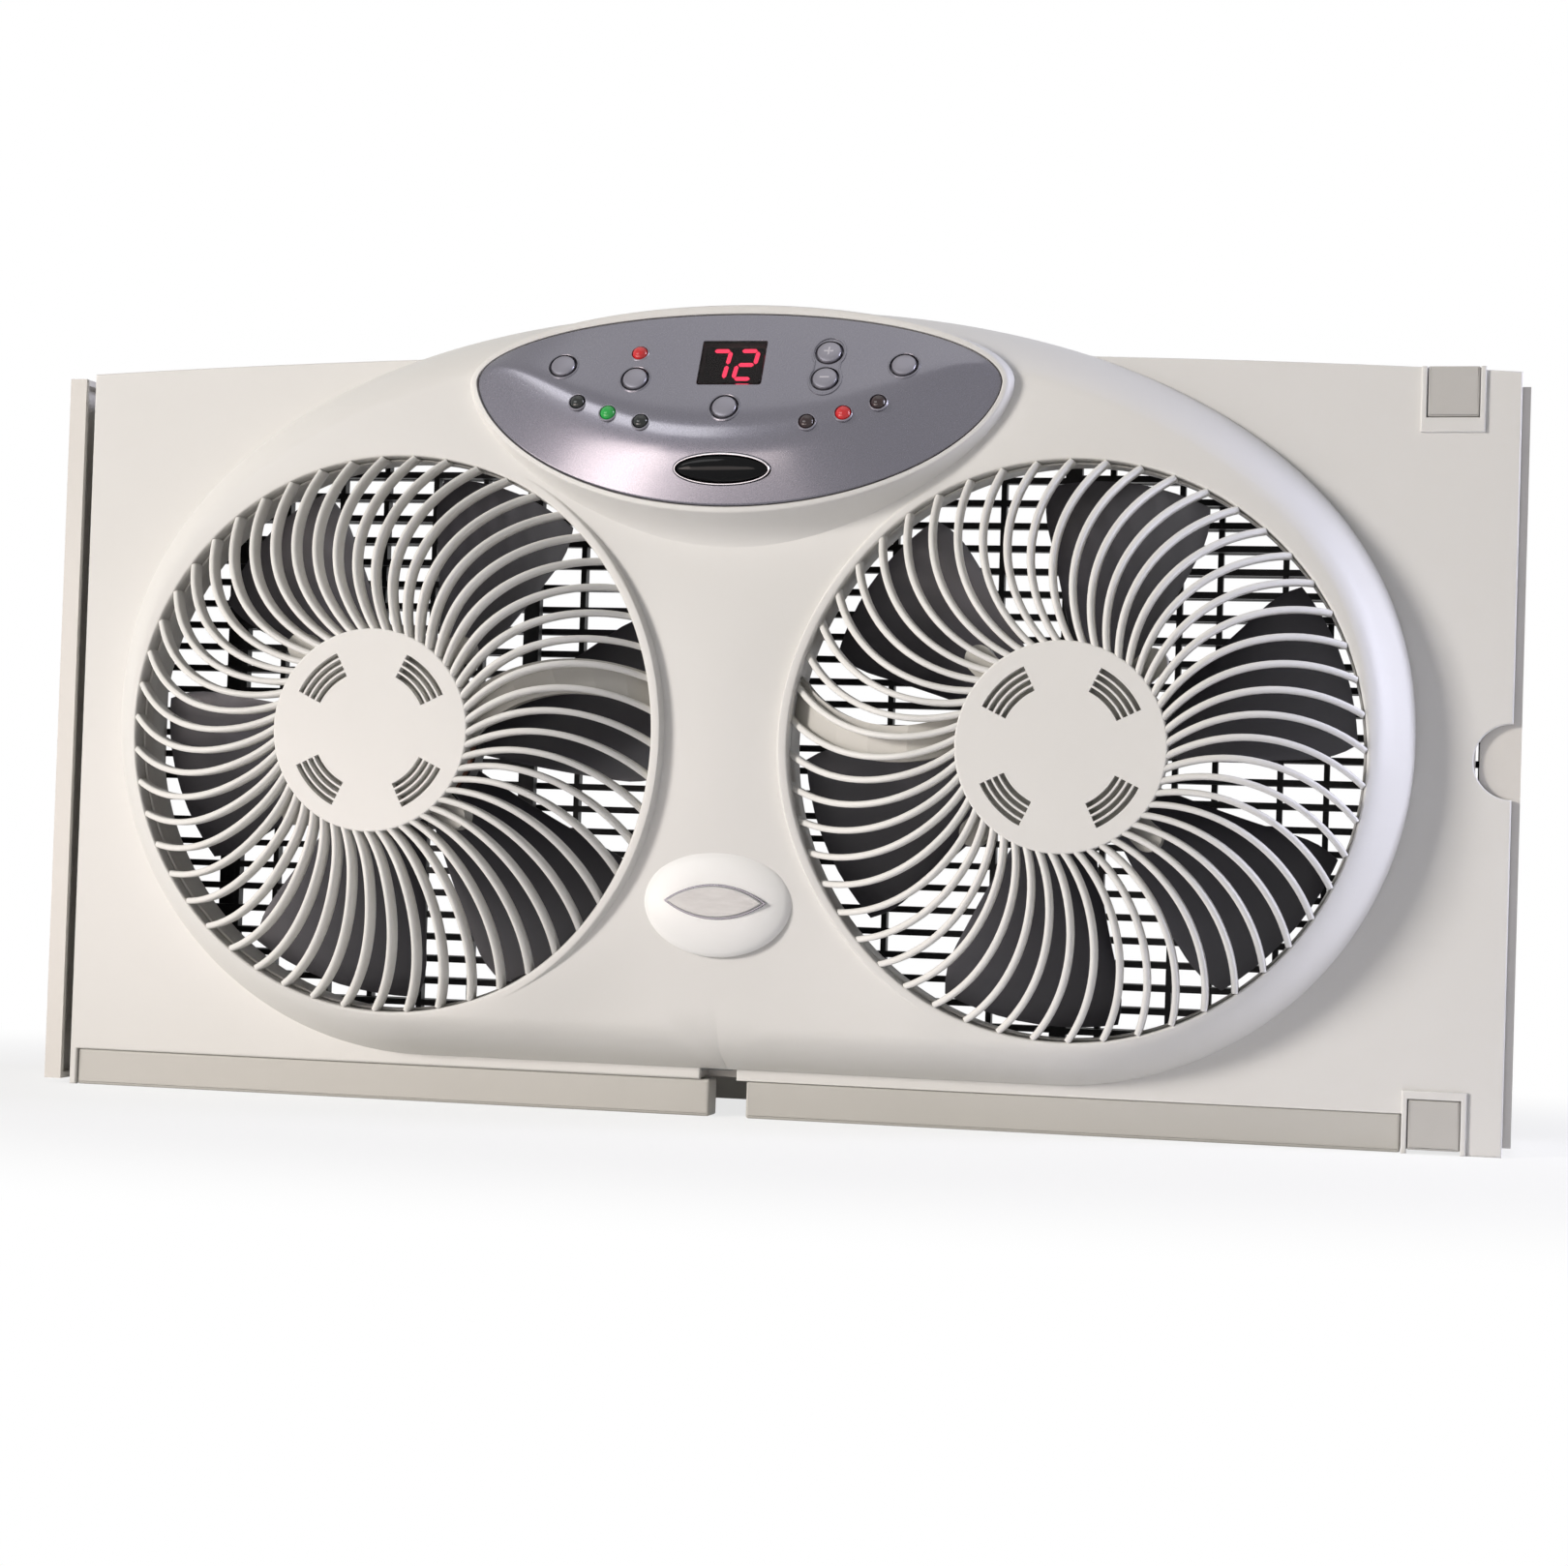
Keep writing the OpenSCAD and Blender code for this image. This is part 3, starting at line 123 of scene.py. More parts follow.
# ABS of the two latch keys: greyer, matt
abs_latch = finish("moulded_abs_latch", "#bdbbb6", "#b7b5b1", 20, 0.8, 0.5, ior=1.53)
# ABS of the badge: whiter than the housing
abs_badge = finish("moulded_abs_white", "#e9e9e7", "#e5e5e3", 30, 0.8, 0.4, ior=1.53)
# ABS of the rear parts: a shade darker and warmer than the front
abs_rear = finish("moulded_abs_rear", "#d6d3ce", "#d0cdc7", 70, 0.9, 0.5, ior=1.53)
# Metallic paint on ABS: grey-violet silver with fine flakes
silver_paint = finish("silver_metallic_paint", "#66646d", "#605e69", 30, 0.35, 0.29, metallic=0.7, grain=0.12,
                      Coat_Weight=1.0, Coat_Roughness=0.16)
# Painted buttons: brighter silver
button_paint = finish("button_silver_paint", "#86848c", "#7e7c85", 10, 0.3, 0.34, metallic=0.6, grain=0.08)
# Vacuum-plated trim rings: smooth bright metal
plated = finish("plated_trim", "#aeacb0", "#a5a3a8", 8, 0.3, 0.2, metallic=1.0, grain=0.03, rough_swing=0.04)
# Polypropylene blades: charcoal with a soft sheen
blade_pp = finish("moulded_pp_charcoal", "#525157", "#4a494f", 35, 0.9, 0.4, ior=1.49)
# Black moulded slats of the rear grille and screens
black_pp = finish("moulded_pp_black", "#1d1d1f", "#161618", 30, 0.9, 0.5, ior=1.49)
# Enamel of the motor cans: dark grey with a weak metal sheen
motor_enamel = finish("motor_can_enamel", "#3b3c3e", "#323335", 20, 0.6, 0.45, metallic=0.3)
# Lacquered copper windings of the stators: brown-red, the wires as fine lines across the axis
winding = finish("copper_winding", "#8b5636", "#6d4029", 4, 0.5, 0.4, metallic=0.7, stretch=(1, 6, 1))
# Stacked steel sheets of the rotors: grey, the sheets' edges as fine rings
core_steel = finish("rotor_sheet_steel", "#8f9092", "#7c7d80", 6, 0.5, 0.42, metallic=1.0,
                    stretch=(1, 8, 1))
# Ground steel of the shafts: bright, with faint rings from the wheel
shaft_steel = finish("ground_shaft_steel", "#c3c4c8", "#b3b4b8", 12, 0.3, 0.22, metallic=1.0,
                     stretch=(1, 6, 1))
# Zinc plating of the screws and nuts: pale grey, half bright
screw_zinc = finish("zinc_plated_screw", "#aeb0b2", "#9a9c9f", 5, 0.3, 0.34, metallic=1.0)
# Sintered bronze of the bushes: dull yellow with a coarse grain
bronze = finish("sintered_bronze", "#a98550", "#957343", 3, 0.2, 0.5, metallic=1.0, grain=0.2)
# Solder mask of the boards: satin green
board_green = finish("solder_mask_green", "#2b6239", "#245632", 12, 0.6, 0.35)
# Moulded epoxy of the small parts on the boards: matt black
part_black = finish("component_epoxy_black", "#202023", "#19191b", 6, 0.5, 0.5)
# Shrunk plastic sleeves of the capacitors: glossy dark blue
sleeve_blue = finish("capacitor_sleeve_blue", "#27406e", "#213760", 8, 0.5, 0.3)
# Tape round the transformer: satin yellow
coil_yellow = finish("transformer_tape_yellow", "#c1a44a", "#b0943f", 9, 0.6, 0.4)
# Lacquered bead of the thermistor: satin brown
thermistor_brown = finish("thermistor_bead_brown", "#7d3f2a", "#6e3422", 4, 0.4, 0.4)
# Soft PVC of the motors' wires: satin black
cable_black = finish("pvc_wire_black", "#2a2a2d", "#232326", 10, 0.5, 0.4)
# Soft rubber of the pads and the cord's bush: matt black with a coarse grain
rubber = finish("soft_rubber_black", "#2f2f31", "#27272a", 10, 0.8, 0.75, grain=0.2)
# Polished black acrylic over the remote control's eye: a dark mirror
remote_gloss = finish("gloss_black_acrylic", "#08080a", "#0b0b0d", 15, 0.5, 0.08, ior=1.22, grain=0.0,
                      rough_swing=0.02)
# Pad print of the plus and minus marks: pale and flat
print_white = finish("pad_print_pale", "#bfbdc4", "#b6b4bb", 3, 0.2, 0.4)
# Brushed foil of the badge's lens: silver with soft level lines
badge_silver = finish("badge_foil_silver", "#9a9a99", "#828281", 9, 0.4, 0.36, metallic=0.8,
                      stretch=(1, 1, 4))


def lamp_look(name, colour, glow, strength):
    """Coloured epoxy of a lamp: glossy, tinted, lit from inside where it has a glow."""
    return finish(name, colour, colour, 3, 0.5, 0.15, grain=0.0, rough_swing=0.03,
                  Emission_Color=linear(glow), Emission_Strength=strength)


lamp_dark = lamp_look("lamp_epoxy_dark", "#0b110f", "#0b110f", 0.0)
lamp_dark_red = lamp_look("lamp_epoxy_dark_red", "#240c0e", "#240c0e", 0.0)
lamp_green = lamp_look("lamp_epoxy_green", "#128a34", "#19c250", 0.14)
lamp_red = lamp_look("lamp_epoxy_red", "#b0161c", "#e8201c", 0.12)
digit_red = lamp_look("display_segment_red", "#d21a36", "#ff4a70", 5.0)

# Smoked acrylic: dark, clear and glossy, so the digits show through it
smoked = finish("smoked_acrylic", "#8c7478", "#84706f", 20, 0.8, 0.03, grain=0.0, rough_swing=0.01,
                ior=1.2, Transmission_Weight=1.0)


# ---- Shapes ----

def quads(rows, columns, wrap_rows=False, wrap_columns=False):
    """Faces of a grid of rows by columns of points, optionally closed either way."""
    i = np.arange(rows if wrap_rows else rows - 1)[:, None]
    j = np.arange(columns if wrap_columns else columns - 1)[None, :]
    i2, j2 = (i + 1) % rows, (j + 1) % columns
    return np.stack(np.broadcast_arrays(i * columns + j, i2 * columns + j, i2 * columns + j2,
                                        i * columns + j2), -1).reshape(-1, 4)


def make(name, parts, body, look, replaces=(), corner=32.0):
    """One piece from (points, faces) pairs, its doubles merged and its faces turned outwards.
    Edges sharper than the corner angle stay crisp."""
    points, faces, start = [], [], 0
    for p, f in parts:
        points.append(np.asarray(p, float).reshape(-1, 3))
        groups = f if isinstance(f, (list, tuple)) else [f]
        for g in groups:
            faces.extend((np.asarray(g) + start).tolist())
        start += len(points[-1])
    mesh = bpy.data.meshes.new(name)
    mesh.from_pydata(((np.concatenate(points) + SHIFT) / 1000).tolist(), [], faces)
    work = bmesh.new()
    work.from_mesh(mesh)
    bmesh.ops.remove_doubles(work, verts=work.verts, dist=2e-6)
    bmesh.ops.dissolve_degenerate(work, edges=work.edges, dist=1e-6)
    bmesh.ops.recalc_face_normals(work, faces=work.faces)
    work.to_mesh(mesh)
    work.free()
    mesh.shade_smooth()
    mesh.set_sharp_from_angle(angle=math.radians(corner))
    piece = bpy.data.objects.new(name, mesh)
    bpy.context.scene.collection.objects.link(piece)
    mesh.materials.append(look)
    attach(piece, body)
    if replaces:
        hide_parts(*replaces)
    return piece


# A place is (origin, right, up, out): a flat drawing in right and up, with out towards the viewer.
FACE = (np.zeros(3), np.array([1.0, 0, 0]), np.array([0, 0, 1.0]), np.array([0, -1.0, 0]))


def put(place, u, v, w):
    """Points from a flat drawing's right, up and out."""
    origin, right, up, out = place
    return origin + np.multiply.outer(u, right) + np.multiply.outer(v, up) + np.multiply.outer(w, out)


def at_fan(side):
    """A place on a fan's axis at the plate's face."""
    return (np.array([side * FAN_X, 0, FAN_Z]), *FACE[1:])


def offset(loop, inset):
    """A closed loop moved to its left by an inset, with mitred corners."""
    edge = np.roll(loop, -1, 0) - loop
    normal = np.stack([-edge[:, 1], edge[:, 0]], 1) / np.linalg.norm(edge, axis=1)[:, None]
    before = np.roll(normal, 1, 0)
    share = 1 + (normal * before).sum(1)
    return loop + inset * (normal + before) / np.maximum(share, 0.3)[:, None]


def inside(loop, points):
    """True for each point that an even-odd count of crossings puts inside the loop."""
    a, b = loop, np.roll(loop, -1, 0)
    x, y = points[:, 0][:, None], points[:, 1][:, None]
    crosses = (a[:, 1] > y) != (b[:, 1] > y)
    at = a[:, 0] + (y - a[:, 1]) * (b[:, 0] - a[:, 0]) / np.where(b[:, 1] == a[:, 1], 1, b[:, 1] - a[:, 1])
    return (crosses & (x < at)).sum(1) % 2 == 1


def distance(loop, points):
    """Distance of each point to a closed loop's line."""
    a, e = loop, np.roll(loop, -1, 0) - loop
    length = (e * e).sum(1)
    best = np.full(len(points), 1e9)
    for part in range(0, len(points), 2000):
        p = points[part:part + 2000, None, :] - a[None]
        t = np.clip((p * e).sum(2) / length, 0, 1)[..., None]
        best[part:part + 2000] = np.sqrt(((p - t * e) ** 2).sum(2)).min(1)
    return best


def slab(place, outline, top, bottom, edge=0.6, holes=(), edge_low=0.0, lift=None, spacing=0, extra=None,
         steps=3, hole_edge=0.25):
    """A plate between two heights: its outline and holes carried down a rounded edge.
    Inset and drop of the edge are edge*(1 - sin a) and edge*(1 - cos a) for a from 0 to 90 degrees.
    With a lift, both faces follow lift(u, v) and are filled with points at the given spacing.
    Extra is a pair: points to add, and a function that gives the distance of other points to them."""
    loops = [np.asarray(outline, float)] + [np.asarray(h, float)[::-1] for h in holes]
    turn = np.radians(np.linspace(0, 90, steps + 1))

    def edge_rings(edge, edge_low):
        margin = min(0.25, edge * 0.5)
        levels = [(edge * (1 - math.sin(a)), top - edge * (1 - math.cos(a))) for a in turn]
        rings = [(edge + margin, top)] + levels + [(0, levels[-1][1] - margin)]
        if edge_low <= 0:
            return rings + [(0, bottom + margin), (0, bottom)]
        rings.append((0, bottom + edge_low + margin))
        rings += [(edge_low * (1 - math.cos(a)), bottom + edge_low * (1 - math.sin(a))) for a in turn]
        return rings + [(edge_low + margin, bottom)]

    high = lift if lift else (lambda u, v: np.zeros(len(u)))
    parts, caps = [], [[], []]
    for k, loop in enumerate(loops):
        rings = edge_rings(min(edge, hole_edge), 0) if k else edge_rings(edge, edge_low)
        layers = []
        for inset, w in rings:
            flat = offset(loop, inset)
            layers.append(put(place, flat[:, 0], flat[:, 1], w + high(flat[:, 0], flat[:, 1])))
        parts.append((np.stack(layers), quads(len(rings), len(loop), wrap_columns=True)))
        caps[0].append(offset(loop, rings[0][0]))
        caps[1].append(offset(loop, rings[-1][0]))
    for loops_here, w in ((caps[0], top), (caps[1], bottom)):
        if lift is None:
            fans = tessellate_polygon([[Vector((*p, 0)) for p in loop.tolist()] for loop in loops_here])
            flat, fans = np.concatenate(loops_here), np.array(fans)
        else:
            low, far = loops_here[0].min(0), loops_here[0].max(0)
            grid = np.stack(np.meshgrid(*(np.arange(low[k], far[k], spacing) for k in (0, 1))), -1)
            grid[1::2, :, 0] += spacing / 2
            grid = grid.reshape(-1, 2)
            if extra is not None:
                grid = np.concatenate([grid[np.abs(extra[1](grid)) > spacing * 0.6], extra[0]])
            keep = inside(loops_here[0], grid)
            for loop in loops_here:
                keep &= distance(loop, grid) > spacing * 0.45
            for loop in loops_here[1:]:
                keep &= ~inside(loop, grid)
            points, lines, count = [], [], 0
            for loop in loops_here:
                points.append(loop)
                lines += [(count + i, count + (i + 1) % len(loop)) for i in range(len(loop))]
                count += len(loop)
            points = np.concatenate(points + [grid[keep]])
            found = delaunay_2d_cdt([Vector(p) for p in points.tolist()], lines, [], 0, 1e-6)
            flat = np.array([tuple(v) for v in found[0]])
            fans = np.array([f for f in found[2] if len(f) == 3])
            middle = flat[fans].mean(1)
            good = inside(loops_here[0], middle)
            for loop in loops_here[1:]:
                good &= ~inside(loop, middle)
            fans = fans[good]
        parts.append((put(place, flat[:, 0], flat[:, 1], w + high(flat[:, 0], flat[:, 1])), fans))
    return parts


def circle(r, count=48, middle=(0, 0)):
    """A circle's points, anticlockwise."""
    a = np.linspace(0, 2 * math.pi, count, endpoint=False)
    return np.stack([middle[0] + r * np.cos(a), middle[1] + r * np.sin(a)], 1)


def ellipse(a, b, count=72):
    """An ellipse's points from its two half widths, anticlockwise."""
    return circle(1, count) * (a, b)


def rectangle(x0, y0, x1, y1, r=0.0, count=5):
    """A rectangle with round corners, anticlockwise."""
    if r <= 0:
        return np.array([[x0, y0], [x1, y0], [x1, y1], [x0, y1]], float)
    turn = np.radians(np.linspace(0, 90, count))
    corners = [(x1 - r, y0 + r, -90), (x1 - r, y1 - r, 0), (x0 + r, y1 - r, 90), (x0 + r, y0 + r, 180)]
    turns = [turn + math.radians(first) for _, _, first in corners]
    return np.concatenate([np.stack([x + r * np.cos(a), y + r * np.sin(a)], 1)
                           for (x, y, _), a in zip(corners, turns)])


def turned(place, profile, steps=96, closed=True):
    """A profile of [radius, out] points carried round the place's out axis."""
    a = np.linspace(0, 2 * math.pi, steps, endpoint=False)[:, None]
    p = np.asarray(profile, float)[None]
    shape = (steps, p.shape[1])
    points = put(place, *(np.broadcast_to(k, shape) for k in
                          (p[..., 0] * np.cos(a), p[..., 0] * np.sin(a), p[..., 1])))
    return [(points, quads(*shape, wrap_rows=True, wrap_columns=closed))]


def two_sheets(front, back):
    """A closed solid between two grids of points of one size, joined along their four edges."""
    n, m = front.shape[:2]
    faces = quads(n, m)
    edge = np.concatenate([np.arange(n) * m, (n - 1) * m + np.arange(1, m),
                           np.arange(n - 2, -1, -1) * m + m - 1, np.arange(m - 2, 0, -1)])
    after = np.roll(edge, -1)
    sides = np.stack([edge, after, after + n * m, edge + n * m], 1)
    return [(np.concatenate([front.reshape(-1, 3), back.reshape(-1, 3)]),
             [faces, faces[:, ::-1] + n * m, sides])]


def prism(x0, x1, y0, y1, z0, z1, edge=0.7):
    """A moulded bar with all its long and front edges rounded: a rounded slab drawn in X and Z."""
    return slab(FACE, rectangle(x0, z0, x1, z1, r=edge), -y0, -y1, edge=edge, edge_low=edge * 0.5)


# ---- Raised oval, collars and ducts ----

OVAL = dict(half=268.5, bottom=19.5, top=327.5, middle=156.5, arc=137.0, power=2.22)
FLANK_W = 18
SWELL = 10
# The collar's rise and inward lean, which are greatest between the fans
COLLAR_RISE = 4.7
COLLAR_LEAN = 3


def oval_top(x):
    """Height of the oval's crown at x: a superellipse of power 2.22."""
    share = np.clip(np.abs(x) / OVAL["half"], 0, 1)
    fall = (1 - share ** OVAL["power"]) ** (1 / OVAL["power"])
    return OVAL["middle"] + (OVAL["top"] - OVAL["middle"]) * fall


def oval_loop():
    """The oval's outline, anticlockwise: a superellipse above, two arcs and a straight line below."""
    a = np.radians(np.linspace(0, 180, 361))
    share = 2 / OVAL["power"]
    upper = np.stack([OVAL["half"] * np.sign(np.cos(a)) * np.abs(np.cos(a)) ** share,
                      OVAL["middle"] + (OVAL["top"] - OVAL["middle"]) * np.abs(np.sin(a)) ** share], 1)
    reach = OVAL["half"] - OVAL["arc"]
    b = np.radians(np.linspace(181, 270, 90))
    left = np.stack([-reach + OVAL["arc"] * np.cos(b), OVAL["middle"] + OVAL["arc"] * np.sin(b)], 1)
    line = np.stack([np.linspace(-reach, reach, 60)[1:-1], np.full(58, OVAL["bottom"])], 1)
    right = left[::-1] * (-1, 1)
    return np.concatenate([upper, left, line, right])


oval = oval_loop()


def face_height(x, z):
    """How far the oval's face stands in front of the plate: with d the share of the flank's width,
    it rises as (1 - (1 - d)^1.75)^0.84, then runs level with a soft swell between the fans."""
    d = np.minimum(distance(oval, np.stack([x.ravel(), z.ravel()], 1)).reshape(x.shape) / FLANK_W, 1)
    swell = SWELL * np.exp(-(x / 70) ** 2 - ((z - 150) / 75) ** 2)
    return (FACE_OUT + swell) * (1 - (1 - d) ** 1.75) ** 0.84


def smooth(x, low, high):
    """0 below low, 1 above high, and 3t^2 - 2t^3 between them."""
    t = np.clip((x - low) / (high - low), 0, 1)
    return t * t * (3 - 2 * t)


def bezel():
    """Each half is a grid of rays round its fan's axis: every ray runs from the oval's edge
    (or the middle line) over the flank, the collar and down the duct, and back inside the wall.
    The collar adds exp(-((r - R) / w)^p): a steep wall between the fans, a gentle climb elsewhere."""
    top_angle = math.atan2(OVAL["top"] - FAN_Z, FAN_X)
    low_angle = math.atan2(OVAL["bottom"] - FAN_Z, FAN_X)
    line = np.linspace(low_angle, top_angle, 65)
    rest = np.linspace(top_angle, low_angle + 2 * math.pi, 226)[1:-1]
    turn = np.concatenate([line, rest])
    at = oval - (-FAN_X, FAN_Z)
    angle = np.unwrap(np.arctan2(at[:, 1], at[:, 0]))
    reach = np.hypot(at[:, 0], at[:, 1])
    order = np.argsort(angle % (2 * math.pi))
    ring = np.interp(turn % (2 * math.pi), (angle % (2 * math.pi))[order], reach[order], period=2 * math.pi)
    on_line = np.arange(len(turn)) < len(line)
    ring[on_line] = FAN_X / np.cos(turn[on_line])
    lip = OPENING_R + 0.9
    # The last steps close in on the collar, where its wall is steep
    near = np.array([10, 7.5, 6, 5, 4.2, 3.7, 3.4, 3.2, 3.0, 2.8, 2.6, 2.4, 2.1, 1.6, 0.8, 0])
    share = np.linspace(0, 1, 29)[None, :-1] ** 1.4
    far = ring[:, None] - (ring[:, None] - lip - near[0]) * share
    r = np.concatenate([far, np.broadcast_to(lip + near, (len(turn), len(near)))], 1)
    cos, sin = np.cos(turn)[:, None], np.sin(turn)[:, None]
    x, z = -FAN_X + r * cos, FAN_Z + r * sin
    inner = smooth(cos, 0.4, 1.0)
    steep, gentle = (np.exp(-((r - OPENING_R) / w) ** p) for w, p in ((3.7, 18), (26, 1.8)))
    level = face_height(x, z)
    h = level + COLLAR_RISE * inner * steep + 0.225 * level * (1 - inner) * gentle
    back = level - WALL
    r = r - COLLAR_LEAN * inner * np.clip(1 - (r - lip) / 12, 0, 1)
    h[:, 0] = np.where(on_line, h[:, 0], -0.6)
    # The lip's four rounded steps follow the collar; the duct, its ledge and its outside stay put
    tail_r = OPENING_R + np.array([0.5, 0.2, 0, 0, 0, -1, -1, 0, 0, 2, 2])
    tail_h = np.array([-0.1, -0.4, -0.9, -5, 12.5, 12.5, 10.5, 10.5, -WALL, -WALL, 19])
    on_lip = np.arange(11) < 4
    tail_r = tail_r - COLLAR_LEAN * inner * on_lip
    tail_h = tail_h + h[:, -1:] * on_lip
    rows_r = [r, tail_r, np.minimum(r[:, ::-3][:, 3:], r[:, :1] - 0.8)]
    rows_h = [h, tail_h, np.maximum(back[:, ::-3][:, 3:], -WALL)]
    n = len(turn)
    last_r = np.where(on_line, r[:, 0], r[:, 0] - 1.2)[:, None]
    last_h = np.where(on_line, back[:, 0], -WALL)[:, None]
    all_r = np.concatenate(rows_r + [last_r], 1)
    all_h = np.concatenate(rows_h + [last_h], 1)
    points = np.stack([-FAN_X + all_r * cos, -all_h, FAN_Z + all_r * sin], -1)
    points[on_line, 0, 0] = 0
    points[on_line, -1, 0] = 0
    m = points.shape[1]
    faces = quads(n, m, wrap_rows=True)
    i = np.arange(n)
    outer = np.stack([i * m + m - 1, ((i + 1) % n) * m + m - 1, ((i + 1) % n) * m, i * m], 1)
    outer = outer[~(on_line & np.roll(on_line, -1))]
    other = points * (-1, 1, 1)
    return [(points, [faces, outer]), (other, [faces[:, ::-1], outer[:, ::-1]])]


make("front_oval", bezel(), "housing", abs_white, ["front_housing"], corner=38)


# ---- Plate behind the oval ----

def plate_top(x):
    """The plate's arched top edge: an arc over a half width, or the oval's crown where that is higher."""
    half, rise = 296.0, 8.0
    radius = (half ** 2 + rise ** 2) / (2 * rise)
    arc = 310 - radius + np.sqrt(radius ** 2 - (x - 9) ** 2)
    return np.maximum(arc, oval_top(x) * (np.abs(x) < 268))


LATCH = (269.4, 289.0)
PLATE_RIGHT = 305
notch = np.radians(np.linspace(270, 90, 25))
notch_line = np.stack([PLATE_RIGHT + 14.6 * np.cos(notch), 151.5 + 14.6 * np.sin(notch)], 1)
crown = np.linspace(LATCH[0] - 0.3, -287, 280)
plate_outline = np.concatenate([
    [[-287, 0], [-284, 0], [-284, 15], [-11.6, 15], [-11.6, 19.5], [3.6, 19.5], [3.6, 15], [267, 15],
     [267, 0], [LATCH[0] - 0.3, 0], [LATCH[0] - 0.3, 20.9], [LATCH[1] + 0.3, 20.9],
     [LATCH[1] + 0.3, 0], [PLATE_RIGHT, 0]],
    notch_line,
    [[PLATE_RIGHT, 302], [297, plate_top(np.array([297.0]))[0]],
     [LATCH[1] + 0.3, plate_top(np.array([LATCH[1]]))[0]],
     [LATCH[1] + 0.3, 284.1], [LATCH[0] - 0.3, 284.1]],
    np.stack([crown, plate_top(crown)], 1)])
# The plate is open behind the oval, but for a strip under its own arched top
hidden = offset(oval, 4)
hidden = hidden[hidden[:, 1] < 289.5]
make("front_plate", slab(FACE, plate_outline, 0, -WALL, edge=0.7, holes=[hidden]), "housing",
     abs_white, ["front_housing"])

low_frame = np.array([[267, 0], [269.1, 0], [269.1, 20.9], [289.3, 20.9], [289.3, 0], [291.4, 0],
                      [291.4, 24.2], [267, 24.2]])
high_frame = np.array([[267, 278.4], [291.4, 278.4], [291.4, 304], [289.3, 304], [289.3, 284.1],
                       [269.1, 284.1], [269.1, 304], [267, 304]])
make("latch_frames", slab(FACE, low_frame, 1.4, -1.5, edge=0.5) + slab(FACE, high_frame, 1.4, -1.5, edge=0.5),
     "housing", abs_white, ["front_housing"])

for side, x in (("left", (-283.8, -7.6)), ("right", (7.6, 266.8))):
    make(side + "_rail", prism(*x, 1.2, 13.2, 0, 15, edge=1.0), "housing", abs_painted_shade,
         [side + "_foot_rail"])
for name, z in (("upper_latch", (284.4, 304)), ("lower_latch", (1.5, 20.6))):
    head = (z[0] - 1.5, z[1]) if name == "upper_latch" else (z[0], z[1] + 1.5)
    key = prism(*LATCH, -0.8, 2.8, *z, edge=0.6)
    key += prism(LATCH[0] - 1.5, LATCH[1] + 1.5, 2.8, 5, *head, edge=0.3)
    make(name + "_key", key, name, abs_latch, [name])


# ---- Lens-shaped control panel and its pod ----

PANEL = dict(half=107.0, tip_z=294.0, rise=28.0, drop=51.0, tip=28.0, top=21.5, crease=49.0, bottom=41.0)


def crease_share(t):
    """Where the crease lies between the panel's lower and upper edges, at a share t of its half width."""
    return 0.36 + 0.575 * np.abs(t) ** 2.7


def lens_edges(t):
    """Heights of the panel's lower and upper edges at a share t of its half width: with b = 1 - t^2,
    the tips' height less the drop times b^0.6, and plus the rise times b^0.53."""
    b = np.clip(1 - t * t, 0, 1)
    return PANEL["tip_z"] - PANEL["drop"] * b ** 0.6, PANEL["tip_z"] + PANEL["rise"] * b ** 0.53


def panel_height(x, z):
    """How far the panel stands in front of the plate: two slopes, and a narrow band of 5 degrees
    between them that lies 2 mm under their crease. A soft minimum with k = 0.9 joins the three."""
    t = np.clip(x / PANEL["half"], -0.9999, 0.9999)
    b = 1 - t * t
    low_z, high_z = lens_edges(t)
    v = (z - low_z) / np.maximum(high_z - low_z, 0.5)
    c = crease_share(t)
    low, mid, high = (PANEL["tip"] + (PANEL[k] - PANEL["tip"]) * b for k in ("bottom", "crease", "top"))
    below = low + (mid - low) * v / c
    above = mid + (high - mid) * (v - c) / (1 - c)
    band = mid - 2.0 * b ** 0.7 - 0.09 * b * (z - low_z - c * (high_z - low_z))
    return 40 - 0.9 * np.log(sum(np.exp(-(h - 40) / 0.9) for h in (below, above, band)))


def lens_ring(count, sides=0.0, top=0.0, bottom=0.0):
    """The panel's outline grown past its edge, anticlockwise: the half width times cos a across, and
    the tips' height plus the rise times sin^1.06 a above, or less the drop times sin^1.2 a below.
    With it come each point's share of the half width and whether it is on the upper side."""
    a = np.linspace(0, 2 * math.pi, count, endpoint=False)
    c, s = np.cos(a), np.sin(a)
    upper = s >= 0
    z = np.where(upper, PANEL["tip_z"] + (PANEL["rise"] + top) * np.abs(s) ** 1.06,
                 PANEL["tip_z"] - (PANEL["drop"] + bottom) * np.abs(s) ** 1.2)
    return np.stack([(PANEL["half"] + sides) * c, z], 1), c, upper


